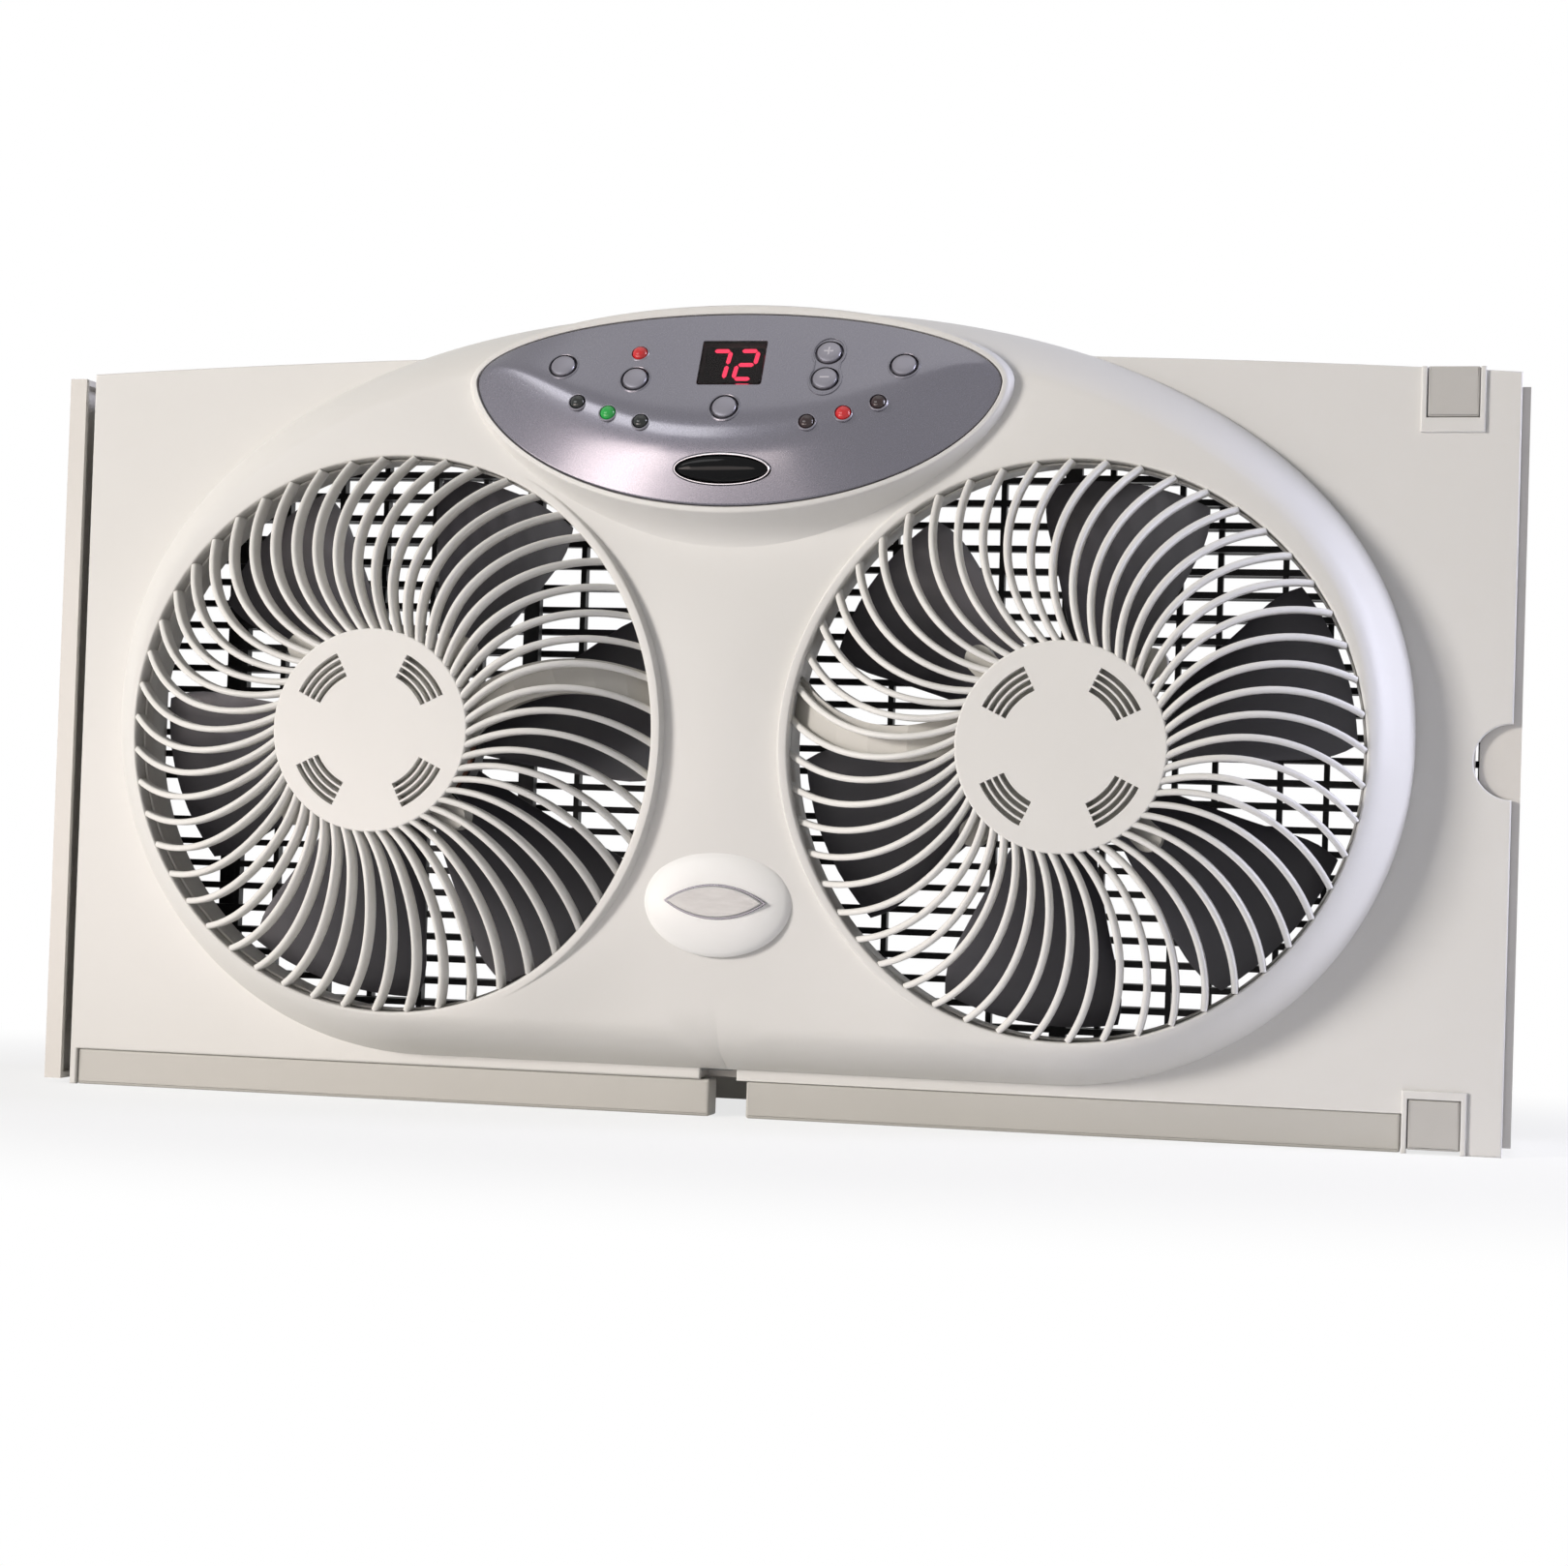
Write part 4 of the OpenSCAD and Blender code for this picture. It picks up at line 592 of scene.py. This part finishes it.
def pod():
    """The panel's outline carried down a wall that flares to the oval's face. With u from 0 at the rim
    to 1 at the foot, the outline grows evenly, and the height falls as (1 - u)^p, where p is 1 above
    and up to 2.1 below."""
    count = 240
    _, t, upper = lens_ring(count)
    b = np.clip(1 - t * t, 0, 1)
    rim = PANEL["tip"] + (np.where(upper, PANEL["top"], PANEL["bottom"]) - PANEL["tip"]) * b - 0.4
    # How far the wall's head and foot are grown past the panel's edge at the sides, top and bottom
    wall_head, wall_foot = np.array([3.0, 4.0, 3.0]), np.array([5.2, 5.0, 17.0])
    foot_ring, _, _ = lens_ring(count, *wall_foot)
    foot = face_height(foot_ring[:, 0], foot_ring[:, 1]) - 0.5
    layers = [((0.3, 0.3, 0.3), rim - 6), ((0.3, 0.3, 0.3), rim - 0.35), ((0.6, 0.6, 0.6), rim),
              ((2.0, 2.9, 2.0), rim), ((2.6, 3.6, 2.6), rim - 0.3), (wall_head, rim - 1.1)]
    power = np.where(upper, 1.0, 1.0 + 1.1 * b)
    for u in np.linspace(0, 1, 13)[1:]:
        grown = wall_head + (wall_foot - wall_head) * u
        layers.append((grown, foot + (rim - 1.1 - foot) * (1 - u) ** power))
    layers.append(((4, 4, 12), foot - 2))
    rows = []
    for grown, h in layers:
        flat, _, _ = lens_ring(count, *grown)
        rows.append(np.stack([flat[:, 0], -h, flat[:, 1]], 1))
    rows = np.stack(rows)
    return [(rows, quads(len(layers), count, wrap_rows=True, wrap_columns=True))]


make("panel_pod", pod(), "housing", abs_white, ["front_housing"], corner=40)


def panel_place(x, z, above=0.0):
    """A place on the panel's face: its origin, right, up the slope and out."""
    at = np.array([x]), np.array([z])
    n = 0.6
    dx = (panel_height(at[0] + n, at[1] + above) - panel_height(at[0] - n, at[1] + above))[0] / (2 * n)
    dz = (panel_height(at[0], at[1] + above + n) - panel_height(at[0], at[1] + above - n))[0] / (2 * n)
    right, up = np.array([1, -dx, 0]), np.array([0, -dz, 1])
    out = np.cross(right, up)
    out /= np.linalg.norm(out)
    right /= np.linalg.norm(right)
    return (np.array([x, -panel_height(*at)[0], z]), right, np.cross(out, right), out)


BUTTONS = {"timer_button": (-69.3, 299.4), "mode_button": (-38.5, 293.7), "light_button": (0, 281.5),
           "plus_button": (38.7, 305), "minus_button": (38.5, 293.7), "speed_button": (69.3, 299.4)}
LAMPS = [(-60.8, 284), (-47.5, 279.4), (-33.5, 275.7), (33.5, 275.7), (47.5, 279.4), (60.8, 284),
         (-38.5, 305)]
DISPLAY_Z, REMOTE_Z = 300.8, 257.0
DISPLAY_W, DISPLAY_H = 25.5, 21.0


def flat_loop(place, loop):
    """A loop drawn on the panel's slope, as X and Z."""
    return put(place, loop[:, 0], loop[:, 1], np.zeros(len(loop)))[:, (0, 2)]


def lamp_place(at):
    """A lamp's place. The five low ones tilt as the slope 5 mm above them does."""
    return panel_place(*at, above=5 if at[1] < 290 else 0)


display_hole = rectangle(-DISPLAY_W / 2 - 0.3, -DISPLAY_H / 2 - 0.3, DISPLAY_W / 2 + 0.3, DISPLAY_H / 2 + 0.3,
                         r=0.8)
panel_holes = [flat_loop(panel_place(*at), circle(5.7, 40)) for at in BUTTONS.values()]
panel_holes += [flat_loop(lamp_place(at), circle(3.25, 32)) for at in LAMPS]
panel_holes.append(flat_loop(panel_place(0, DISPLAY_Z), display_hole))
panel_holes.append(flat_loop(panel_place(0, REMOTE_Z), ellipse(19.7, 6.6)))

CREASE_HALF = 3.2


def crease_line(x):
    """Height of the crease at x."""
    low, high = lens_edges(x / PANEL["half"])
    return low + crease_share(x / PANEL["half"]) * (high - low)


def crease_gap(points):
    """How far points lie outside the band of fine points along the crease."""
    x, z = points[:, 0], points[:, 1]
    past = np.maximum(np.abs(z - crease_line(np.clip(x, -104, 104))) - CREASE_HALF, 0)
    return np.where(np.abs(x) < 103, past, 9)


along = np.arange(-102, 102.1, 2.2)
crease_points = np.concatenate([np.stack([along, crease_line(along) + k], 1)
                                for k in (-CREASE_HALF, -2, -1.1, -0.4, 0.4, 1.1, 2, CREASE_HALF)])
outline, _, _ = lens_ring(260)
lens = slab(FACE, outline, 0, -2.4, edge=0.6, holes=panel_holes, lift=panel_height, spacing=2.4,
            extra=(crease_points, crease_gap))
make("control_lens", lens, "housing", silver_paint, ["control_panel"], corner=45)

CAP = [[0, 1.2], [2.5, 1.17], [4.0, 1.0], [4.6, 0.75], [4.95, 0.2], [5, -0.4], [5, -2.7], [6.3, -2.7],
       [6.3, -3.9], [1.8, -3.9], [1.8, -6.5], [0, -6.5]]
CAP_RING = [[5.75, -0.6], [5.75, 0.15], [5.95, 0.35], [6.2, 0.35], [6.6, 0.0], [6.6, -0.6]]
LAMP_DOME = [[0, 2.0], [1.1, 1.85], [2.1, 1.35], [2.75, 0.65], [3.05, -0.2], [3.1, -5], [0, -5]]
LAMP_RING = [[3.2, -0.8], [3.2, 0.1], [3.35, 0.3], [3.6, 0.3], [3.85, 0.0], [3.85, -0.8]]

for name, at in BUTTONS.items():
    place = panel_place(*at)
    make(name + "_cap", turned(place, CAP, 48, closed=False), name, button_paint, [name])
    if name not in ("plus_button", "minus_button"):
        make(name + "_ring", turned(place, CAP_RING, 56), "housing", silver_paint)


def pair_loop(r):
    """A line round both step buttons: two circles of one radius, joined by a waist."""
    (x0, z0), (x1, z1) = BUTTONS["plus_button"], BUTTONS["minus_button"]
    half = (z0 - z1) / 2
    a = np.radians(np.linspace(-38, 218, 49))
    upper = np.stack([x0 + r * np.cos(a), z0 + r * np.sin(a)], 1)
    lower = np.stack([x1 - r * np.cos(a), z1 - r * np.sin(a)], 1)
    return np.concatenate([upper, lower])


pair_rim = slab(FACE, pair_loop(7.0), 0.4, -0.5, edge=0.25, holes=[pair_loop(6.1)], lift=panel_height,
                spacing=4)
make("step_buttons_rim", pair_rim, "housing", silver_paint)
for name, shape in (("minus", [[-1.9, -0.35], [1.9, -0.35], [1.9, 0.35], [-1.9, 0.35]]),
                    ("plus", [[-1.9, -0.35], [-0.35, -0.35], [-0.35, -1.9], [0.35, -1.9],
                              [0.35, -0.35], [1.9, -0.35], [1.9, 0.35], [0.35, 0.35],
                              [0.35, 1.9], [-0.35, 1.9], [-0.35, 0.35], [-1.9, 0.35]])):
    make(name + "_mark", slab(panel_place(*BUTTONS[name + "_button"]), np.array(shape), 1.3, 1.05, edge=0.08),
         name + "_button", print_white)

LAMP_LOOKS = [(lamp_dark, "lamp_dark", "dark_lamps"), (lamp_green, "lamp_green", "green_lamp"),
              (lamp_dark, "lamp_dark", "dark_lamps"), (lamp_dark_red, "lamp_dark", "dark_lamps"),
              (lamp_red, "lamp_red", "red_lamps"), (lamp_dark_red, "lamp_dark", "dark_lamps"),
              (lamp_red, "lamp_red", "red_lamps")]
for i, (at, (look, slot, node)) in enumerate(zip(LAMPS, LAMP_LOOKS)):
    place = lamp_place(at)
    make(f"lamp_dome_{i + 1}", turned(place, LAMP_DOME, 32, closed=False), "housing", look, [node])
    make(f"lamp_ring_{i + 1}", turned(place, LAMP_RING, 40), "housing", button_paint)

window_place = panel_place(0, DISPLAY_Z)
glass = rectangle(-DISPLAY_W / 2, -DISPLAY_H / 2, DISPLAY_W / 2, DISPLAY_H / 2, r=0.6)
make("display_glass", slab(window_place, glass, 0.2, -1.4, edge=0.25), "housing", smoked,
     ["display_window"])


def digit(bars, middle):
    """Lit bars of one seven-bar digit: long hexagons, slanted by a tenth of their height."""
    h, w, half = 6.9, 3.6, 0.8
    spots = [(0, h, 0), (w, h / 2, 1), (w, -h / 2, 1), (0, -h, 0), (-w, -h / 2, 1), (-w, h / 2, 1), (0, 0, 0)]
    parts = []
    for (u, v, upright), lit in zip(spots, bars):
        if lit:
            long = h / 2 - 0.45 if upright else w - 0.45
            shape = np.array([[-long, 0], [-long + half, -half], [long - half, -half], [long, 0],
                              [long - half, half], [-long + half, half]])
            shape = shape[:, ::-1] * (-1, 1) if upright else shape
            shape = shape + (u, v)
            shape = shape + np.stack([shape[:, 1] * 0.1 + middle, np.zeros(6)], 1)
            parts += slab(window_place, shape, -1.7, -2.2, edge=0.1)
    return parts


seven, two = digit([1, 1, 1, 0, 0, 0, 0], -5.8), digit([1, 1, 0, 1, 1, 0, 1], 5.4)
make("digits", seven + two, "housing", digit_red)
make("display_case", slab(window_place, rectangle(-11.7, -9, 11.7, 9, r=0.5), -2.2, -11, edge=0.3),
     "housing", remote_gloss, ["digit_display"])


def oval_turned(place, half_u, half_v, profile, closed=False):
    """A profile carried round an ellipse. Half widths are (length, share): each of the profile's
    first values times the share adds to the length."""
    a = np.linspace(0, 2 * math.pi, 96, endpoint=False)[:, None]
    p = np.asarray(profile, float)
    u, v = (length + share * p[:, 0] for length, share in (half_u, half_v))
    points = put(place, u * np.cos(a), v * np.sin(a), np.broadcast_to(p[:, 1], (96, len(p))))
    return [(points, quads(96, len(p), wrap_rows=True, wrap_columns=closed))]


remote_place = panel_place(0, REMOTE_Z)
REMOTE_DOME = [[0, 1.6], [0.35, 1.5], [0.62, 1.2], [0.82, 0.8], [0.94, 0.3], [1.0, -0.4],
               [1.0, -2.4], [0, -2.4]]
REMOTE_RIM = [[0.3, -1], [0.3, 0.2], [0.5, 0.5], [0.8, 0.5], [1.1, 0.1], [1.1, -1]]
make("remote_lens", oval_turned(remote_place, (0, 18.3), (0, 5.3), REMOTE_DOME), "housing",
     remote_gloss, ["remote_window"])
make("remote_rim", oval_turned(remote_place, (18.35, 1), (5.35, 1), REMOTE_RIM, closed=True), "housing",
     plated)


# ---- Badge ----

badge_place = (np.array([-0.2, -26.2, 87.4]), *FACE[1:])
BADGE_DOME = [[0, 4.9], [0.3, 4.75], [0.55, 4.3], [0.75, 3.5], [0.9, 2.3], [0.97, 1.2], [1.0, 0], [0, 0]]
make("badge_dome", oval_turned(badge_place, (0, 30), (0, 22), BADGE_DOME), "housing",
     abs_badge, ["badge"])

# The lens is two arcs that meet in points at its ends
LENS_HALF, LENS_BOW = 19.6, 6.3
radius = (LENS_HALF ** 2 + LENS_BOW ** 2) / (2 * LENS_BOW)
sweep = np.linspace(-1, 1, 33)[:-1] * math.asin(LENS_HALF / radius)
low_arc = np.stack([radius * np.sin(sweep), radius - LENS_BOW - radius * np.cos(sweep)], 1)
lens_loop = np.concatenate([low_arc, -low_arc])
# A thin ring of dark silver paint round the lens's foot: painted shadow of a recess round the lens
lens_shadow_ring = slab(badge_place, offset(lens_loop, -0.7), 5.3, 4.2, edge=0.2, holes=[offset(lens_loop, 0.5)])
make("badge_lens_painted_shadow_ring", lens_shadow_ring, "housing", silver_paint)
make("badge_pointed_lens", slab(badge_place, lens_loop, 6.4, 3.5, edge=0.5), "housing",
     badge_silver, ["badge_lens"])


# ---- Grilles ----

DISC_R = 40.5


def dome_fall(r):
    """Fall of the grille's dome behind its flat middle: 0.0137 (r - 57)^1.902."""
    return 0.0137 * np.maximum(r - 57, 0) ** 1.902


SLOT_FIRST_R = 24.4
SLOT_PITCH = 2.75
SLOT_HALF = 0.95


def vent_slots():
    """Four groups of four curved slots, 38 degrees long."""
    slots = []
    for quarter in (45, 135, 225, 315):
        a = np.radians(quarter + np.linspace(-19, 19, 13))
        for row in range(4):
            r = SLOT_FIRST_R + SLOT_PITCH * row
            outer, inner = (np.stack([k * np.cos(a), k * np.sin(a)], 1)
                            for k in (r + SLOT_HALF, r - SLOT_HALF))
            slots.append(np.concatenate([outer, inner[::-1]]))
    return slots


# A bar's section: share of its width, and depth behind its crown
SECTION = np.array([[0, 0], [0.62, 0.14], [1.05, 0.55], [1.25, 1.2], [1.2, 7.0], [0.7, 8.6], [-0.7, 8.6],
                    [-1.2, 7.0], [-1.25, 1.2], [-1.05, 0.55], [-0.62, 0.14]])


# Radius of a bar's arc, and its middle's distance from the fan's axis and turn back from its start
ARC_R = 61.3
ARC_MIDDLE_R = 89.6
ARC_MIDDLE_TURN = math.radians(36.6)


def grille_bars(side, phase, count=52):
    """Every bar is an arc about its own middle, with the rib section carried along it under the dome."""
    start = np.radians(phase + np.arange(count) * 360 / count)[:, None]
    turn = np.radians(np.linspace(48.5, 121.5, 25))[None]
    middle = ARC_MIDDLE_R * np.stack([np.cos(start - ARC_MIDDLE_TURN), np.sin(start - ARC_MIDDLE_TURN)], -1)
    way = np.stack([np.cos(start + turn), np.sin(start + turn)], -1)
    path = middle + ARC_R * way
    r = np.hypot(path[..., 0], path[..., 1])
    flat = path[:, :, None, :] + way[:, :, None, :] * SECTION[None, None, :, :1]
    depth = -DISC_OUT + dome_fall(r)[..., None] + SECTION[:, 1]
    points = np.stack([side * FAN_X + flat[..., 0], depth, FAN_Z + flat[..., 1]], -1)
    n, m = turn.shape[1], len(SECTION)
    one = [quads(n, m, wrap_columns=True)]
    caps = [list(range(m))[::-1], [(n - 1) * m + k for k in range(m)]]
    return [(points[k], one + [np.array([c]) for c in caps]) for k in range(count)]


def grille(name, side, phase):
    """The bars, the middle disc with its skirt, and the rim that sits on the duct's ledge."""
    place = at_fan(side)
    disc = slab(place, circle(DISC_R, 120), DISC_OUT, DISC_OUT - 4.5, edge=0.6, holes=vent_slots(),
                hole_edge=0.15)
    skirt = turned(place, [[DISC_R, 54.6], [DISC_R - 0.1, 47.5], [DISC_R - 2.4, 47.5], [DISC_R - 2.4, 54.6]],
                   120)
    rim = turned(place, [[112.8, 18.5], [112.5, 18.9], [112.1, 18.9], [111.8, 18.5], [111.8, 12.6],
                         [112.8, 12.6]], 200)
    make(name + "_bars", grille_bars(side, phase), "housing", abs_grille_painted_light, [name],
         corner=50)
    make(name + "_middle", disc + skirt + rim, "housing", abs_grille_painted_light, [name])


grille("left_grille", LEFT, 1.4)
grille("right_grille", RIGHT, 5.0)


# ---- Impellers ----

# The blades' middle behind the plate's face
BLADE_MIDDLE = 8.6


def blade(side, turn, rings=20, steps=14):
    """A blade is a grid of share of radius s and share of chord c. Its chord covers 41 degrees, less
    12% at the tip. It pitches 30 mm from front to back at the root and 22 mm at the tip, bows
    forward by 3.5 sin(pi c) s, and is 2 mm thick, and 0.5 mm at its edges."""
    s = np.linspace(0, 1, rings)[:, None]
    c = (1 - np.cos(np.linspace(0, math.pi, steps)))[None] / 2
    r = 20 + s * 89.0
    narrow = np.where(s < 0.8, 0, (s - 0.8) / 0.2) ** 2
    cover = 41 * (1 - 0.12 * narrow)
    a = np.radians((c - 0.5) * cover + 4 * s + turn)
    lean = 32 * (1 - 0.25 * s)
    y = BLADE_MIDDLE + (c - 0.5) * (lean - 2) - 3.5 * np.sin(math.pi * c) * s
    thick = 0.25 + 0.75 * np.sqrt(np.clip(1 - (2 * c - 1) ** 4, 0, 1)) * np.clip((1 - s) * 12 + 0.2, 0, 1)
    x, z = r * np.cos(a), r * np.sin(a)
    grid = [np.stack([side * FAN_X + x, y + k * thick, FAN_Z + z], -1) for k in (-1, 1)]
    return two_sheets(*grid)


HUB = [[0, 9.4], [16, 9.4], [20.5, 8.4], [22, 6], [22, -26.6], [19.5, -26.6], [19.5, 5], [7, 5],
       [7, -26.6], [3.1, -26.6], [3.1, 9.2], [0, 9.2]]


def impeller(name, side, phase):
    """Six blades round a hollow hub."""
    parts = []
    for k in range(6):
        parts += blade(side, phase + 60 * k)
    parts += turned(at_fan(side), HUB, 72)
    make(name + "_moulding", parts, name.replace("impeller", "fan"), blade_pp, [name],
         corner=40)


impeller("left_impeller", LEFT, 7)
impeller("right_impeller", RIGHT, 17)


# ---- CAD nodes that stay: their finishes ----

KEPT = {
    abs_rear: ["rear_housing", "left_end_bar", "right_end_bar"],
    # The motor mounts take the rails' darker ABS, whose darkness is painted shade
    abs_painted_shade: ["left_motor_mount", "right_motor_mount"],
    black_pp: ["rear_grille", "left_screen", "right_screen"],
    rubber: ["foot_pads", "cord_gland"],
    motor_enamel: ["left_front_bell", "right_front_bell", "left_rear_bell", "right_rear_bell"],
    winding: ["left_stator", "right_stator"],
    core_steel: ["left_rotor", "right_rotor"],
    shaft_steel: ["left_shaft", "right_shaft"],
    screw_zinc: ["left_impeller_nut", "right_impeller_nut", "motor_screws", "mount_screws", "housing_screws"],
    bronze: ["left_bearings", "right_bearings"],
    cable_black: ["motor_leads"],
    board_green: ["control_board", "power_board"],
    part_black: ["remote_receiver", "button_switches"],
    sleeve_blue: ["capacitors"],
    coil_yellow: ["transformer"],
    thermistor_brown: ["thermistor"],
}
for look, names in KEPT.items():
    for name in names:
        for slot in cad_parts[name].material_slots:
            slot.material = look


# ---- Camera, light and stage ----

camera = bpy.data.objects.new("camera", bpy.data.cameras.new("camera"))
bpy.context.scene.collection.objects.link(camera)
# The camera that was fitted to the photo: its place in metres, and its turns in radians
EYE = (0.27943, -1.21481, 0.10694)
yaw, pitch, roll = 0.217846, 0.0235315, 0.0329498
ahead = np.array([-math.sin(yaw), math.cos(yaw), 0])
right = np.array([math.cos(yaw), math.sin(yaw), 0])
up = np.array([0, 0, 1.0])
ahead, up = (math.cos(pitch) * ahead + math.sin(pitch) * up,
             -math.sin(pitch) * ahead + math.cos(pitch) * up)
right, up = (math.cos(roll) * right + math.sin(roll) * up,
             -math.sin(roll) * right + math.cos(roll) * up)
turn = Matrix(np.stack([right, up, -ahead], 1).tolist()).to_4x4()
camera.matrix_world = Matrix.Translation(EYE) @ turn
camera.data.lens = 69.79
camera.data.sensor_width = 36
camera.data.clip_start = 0.02
bpy.context.scene.camera = camera


def background_rays(tree):
    """1 for the rays that see the background itself: from the camera, a mirror or clear glass."""
    rays = add(tree, "ShaderNodeLightPath")
    direct = add(tree, "ShaderNodeMath", {0: (rays, "Is Camera Ray"), 1: (rays, "Is Transmission Ray")},
                 operation="MAXIMUM")
    return add(tree, "ShaderNodeMath", {0: (direct, 0), 1: (rays, "Is Glossy Ray")}, operation="MAXIMUM")


world = bpy.data.worlds.new("studio")
bpy.context.scene.world = world
world.use_nodes = True
tree = world.node_tree
tree.nodes.clear()
seen = background_rays(tree)
level = add(tree, "ShaderNodeMapRange", {0: (seen, 0), 3: 0.1, 4: 1.0})
sky = add(tree, "ShaderNodeBackground", {"Color": linear("#ffffff"), "Strength": (level, 0)})
add(tree, "ShaderNodeOutputWorld", {"Surface": (sky, 0)})


def lamp(name, at, towards, size, power, colour, matt=True, shiny=True):
    """A rectangular lamp, which can be left out of what matt or shiny surfaces show."""
    light = bpy.data.lights.new(name, "AREA")
    light.shape = "RECTANGLE"
    light.size, light.size_y = size
    light.energy = power
    light.color = linear(colour)[:3]
    holder = bpy.data.objects.new(name, light)
    bpy.context.scene.collection.objects.link(holder)
    away = Vector(at) - Vector(towards)
    holder.matrix_world = Matrix.Translation(at) @ away.to_track_quat("Z", "Y").to_matrix().to_4x4()
    holder.visible_diffuse = matt
    holder.visible_glossy = shiny


lamp("key", (-3.9, -3.3, 1.42), (0, 0, 0.15), (1.12, 1.12), 252, "#fff9f4", shiny=False)
lamp("front", (-1.02, -1.65, 0.9), (0, -0.06, 0.27), (1.25, 0.62), 10, "#ffffff", matt=False)
lamp("low", (-0.27, -0.59, 0.06), (0, -0.06, 0.27), (0.6, 0.12), 0.25, "#fff0ea")
lamp("low_shine", (-0.24, -0.6, 0.06), (0, -0.06, 0.27), (0.6, 0.12), 0.7, "#fff0ea", matt=False)
lamp("low_left", (-0.5, -0.54, 0.09), (-0.03, -0.06, 0.27), (0.42, 0.16), 1.5, "#fff0ea", matt=False)
lamp("side", (1.45, 0.08, 0.62), (0.2, 0, 0.15), (0.25, 1.0), 20, "#e9eaff")
lamp("top", (0.0, -0.4, 1.7), (0, 0, 0.15), (1.2, 0.8), 2, "#ffffff")

floor_mesh = bpy.data.meshes.new("floor")
floor_mesh.from_pydata([(-30, -30, 0), (30, -30, 0), (30, 30, 0), (-30, 30, 0)], [], [(0, 1, 2, 3)])
floor = bpy.data.objects.new("floor", floor_mesh)
bpy.context.scene.collection.objects.link(floor)
paper = bpy.data.materials.new("white_paper_sweep")
paper.use_nodes = True
tree = paper.node_tree
tree.nodes.clear()
seen = background_rays(tree)
where = add(tree, "ShaderNodeTexCoord")
# The paper shades to 0.75 of white close to the fan. A floor point's place is measured in an
# ellipse's half widths, in metres, and the shade ends between 0.55 and 1.2 of them.
away = add(tree, "ShaderNodeVectorMath", {0: (where, "Object"), 1: (1 / 0.62, 1 / 0.34, 0)},
           operation="MULTIPLY")
far = add(tree, "ShaderNodeVectorMath", {0: (away, 0)}, operation="LENGTH")
fade = add(tree, "ShaderNodeMapRange", {0: (far, "Value"), 1: 0.55, 2: 1.2, 3: 0.75, 4: 1.0},
           interpolation_type="SMOOTHSTEP")
white = add(tree, "ShaderNodeMath", {0: (fade, 0), 1: (seen, 0)}, operation="MULTIPLY")
matt = add(tree, "ShaderNodeBsdfDiffuse", {"Color": linear("#efefee")})
glow = add(tree, "ShaderNodeEmission", {"Color": linear("#ffffff"), "Strength": 1.0})
blend = add(tree, "ShaderNodeMixShader", {0: (white, 0), 1: (matt, 0), 2: (glow, 0)})
add(tree, "ShaderNodeOutputMaterial", {"Surface": (blend, 0)})
floor_mesh.materials.append(paper)

bpy.context.scene.view_settings.view_transform = "Standard"
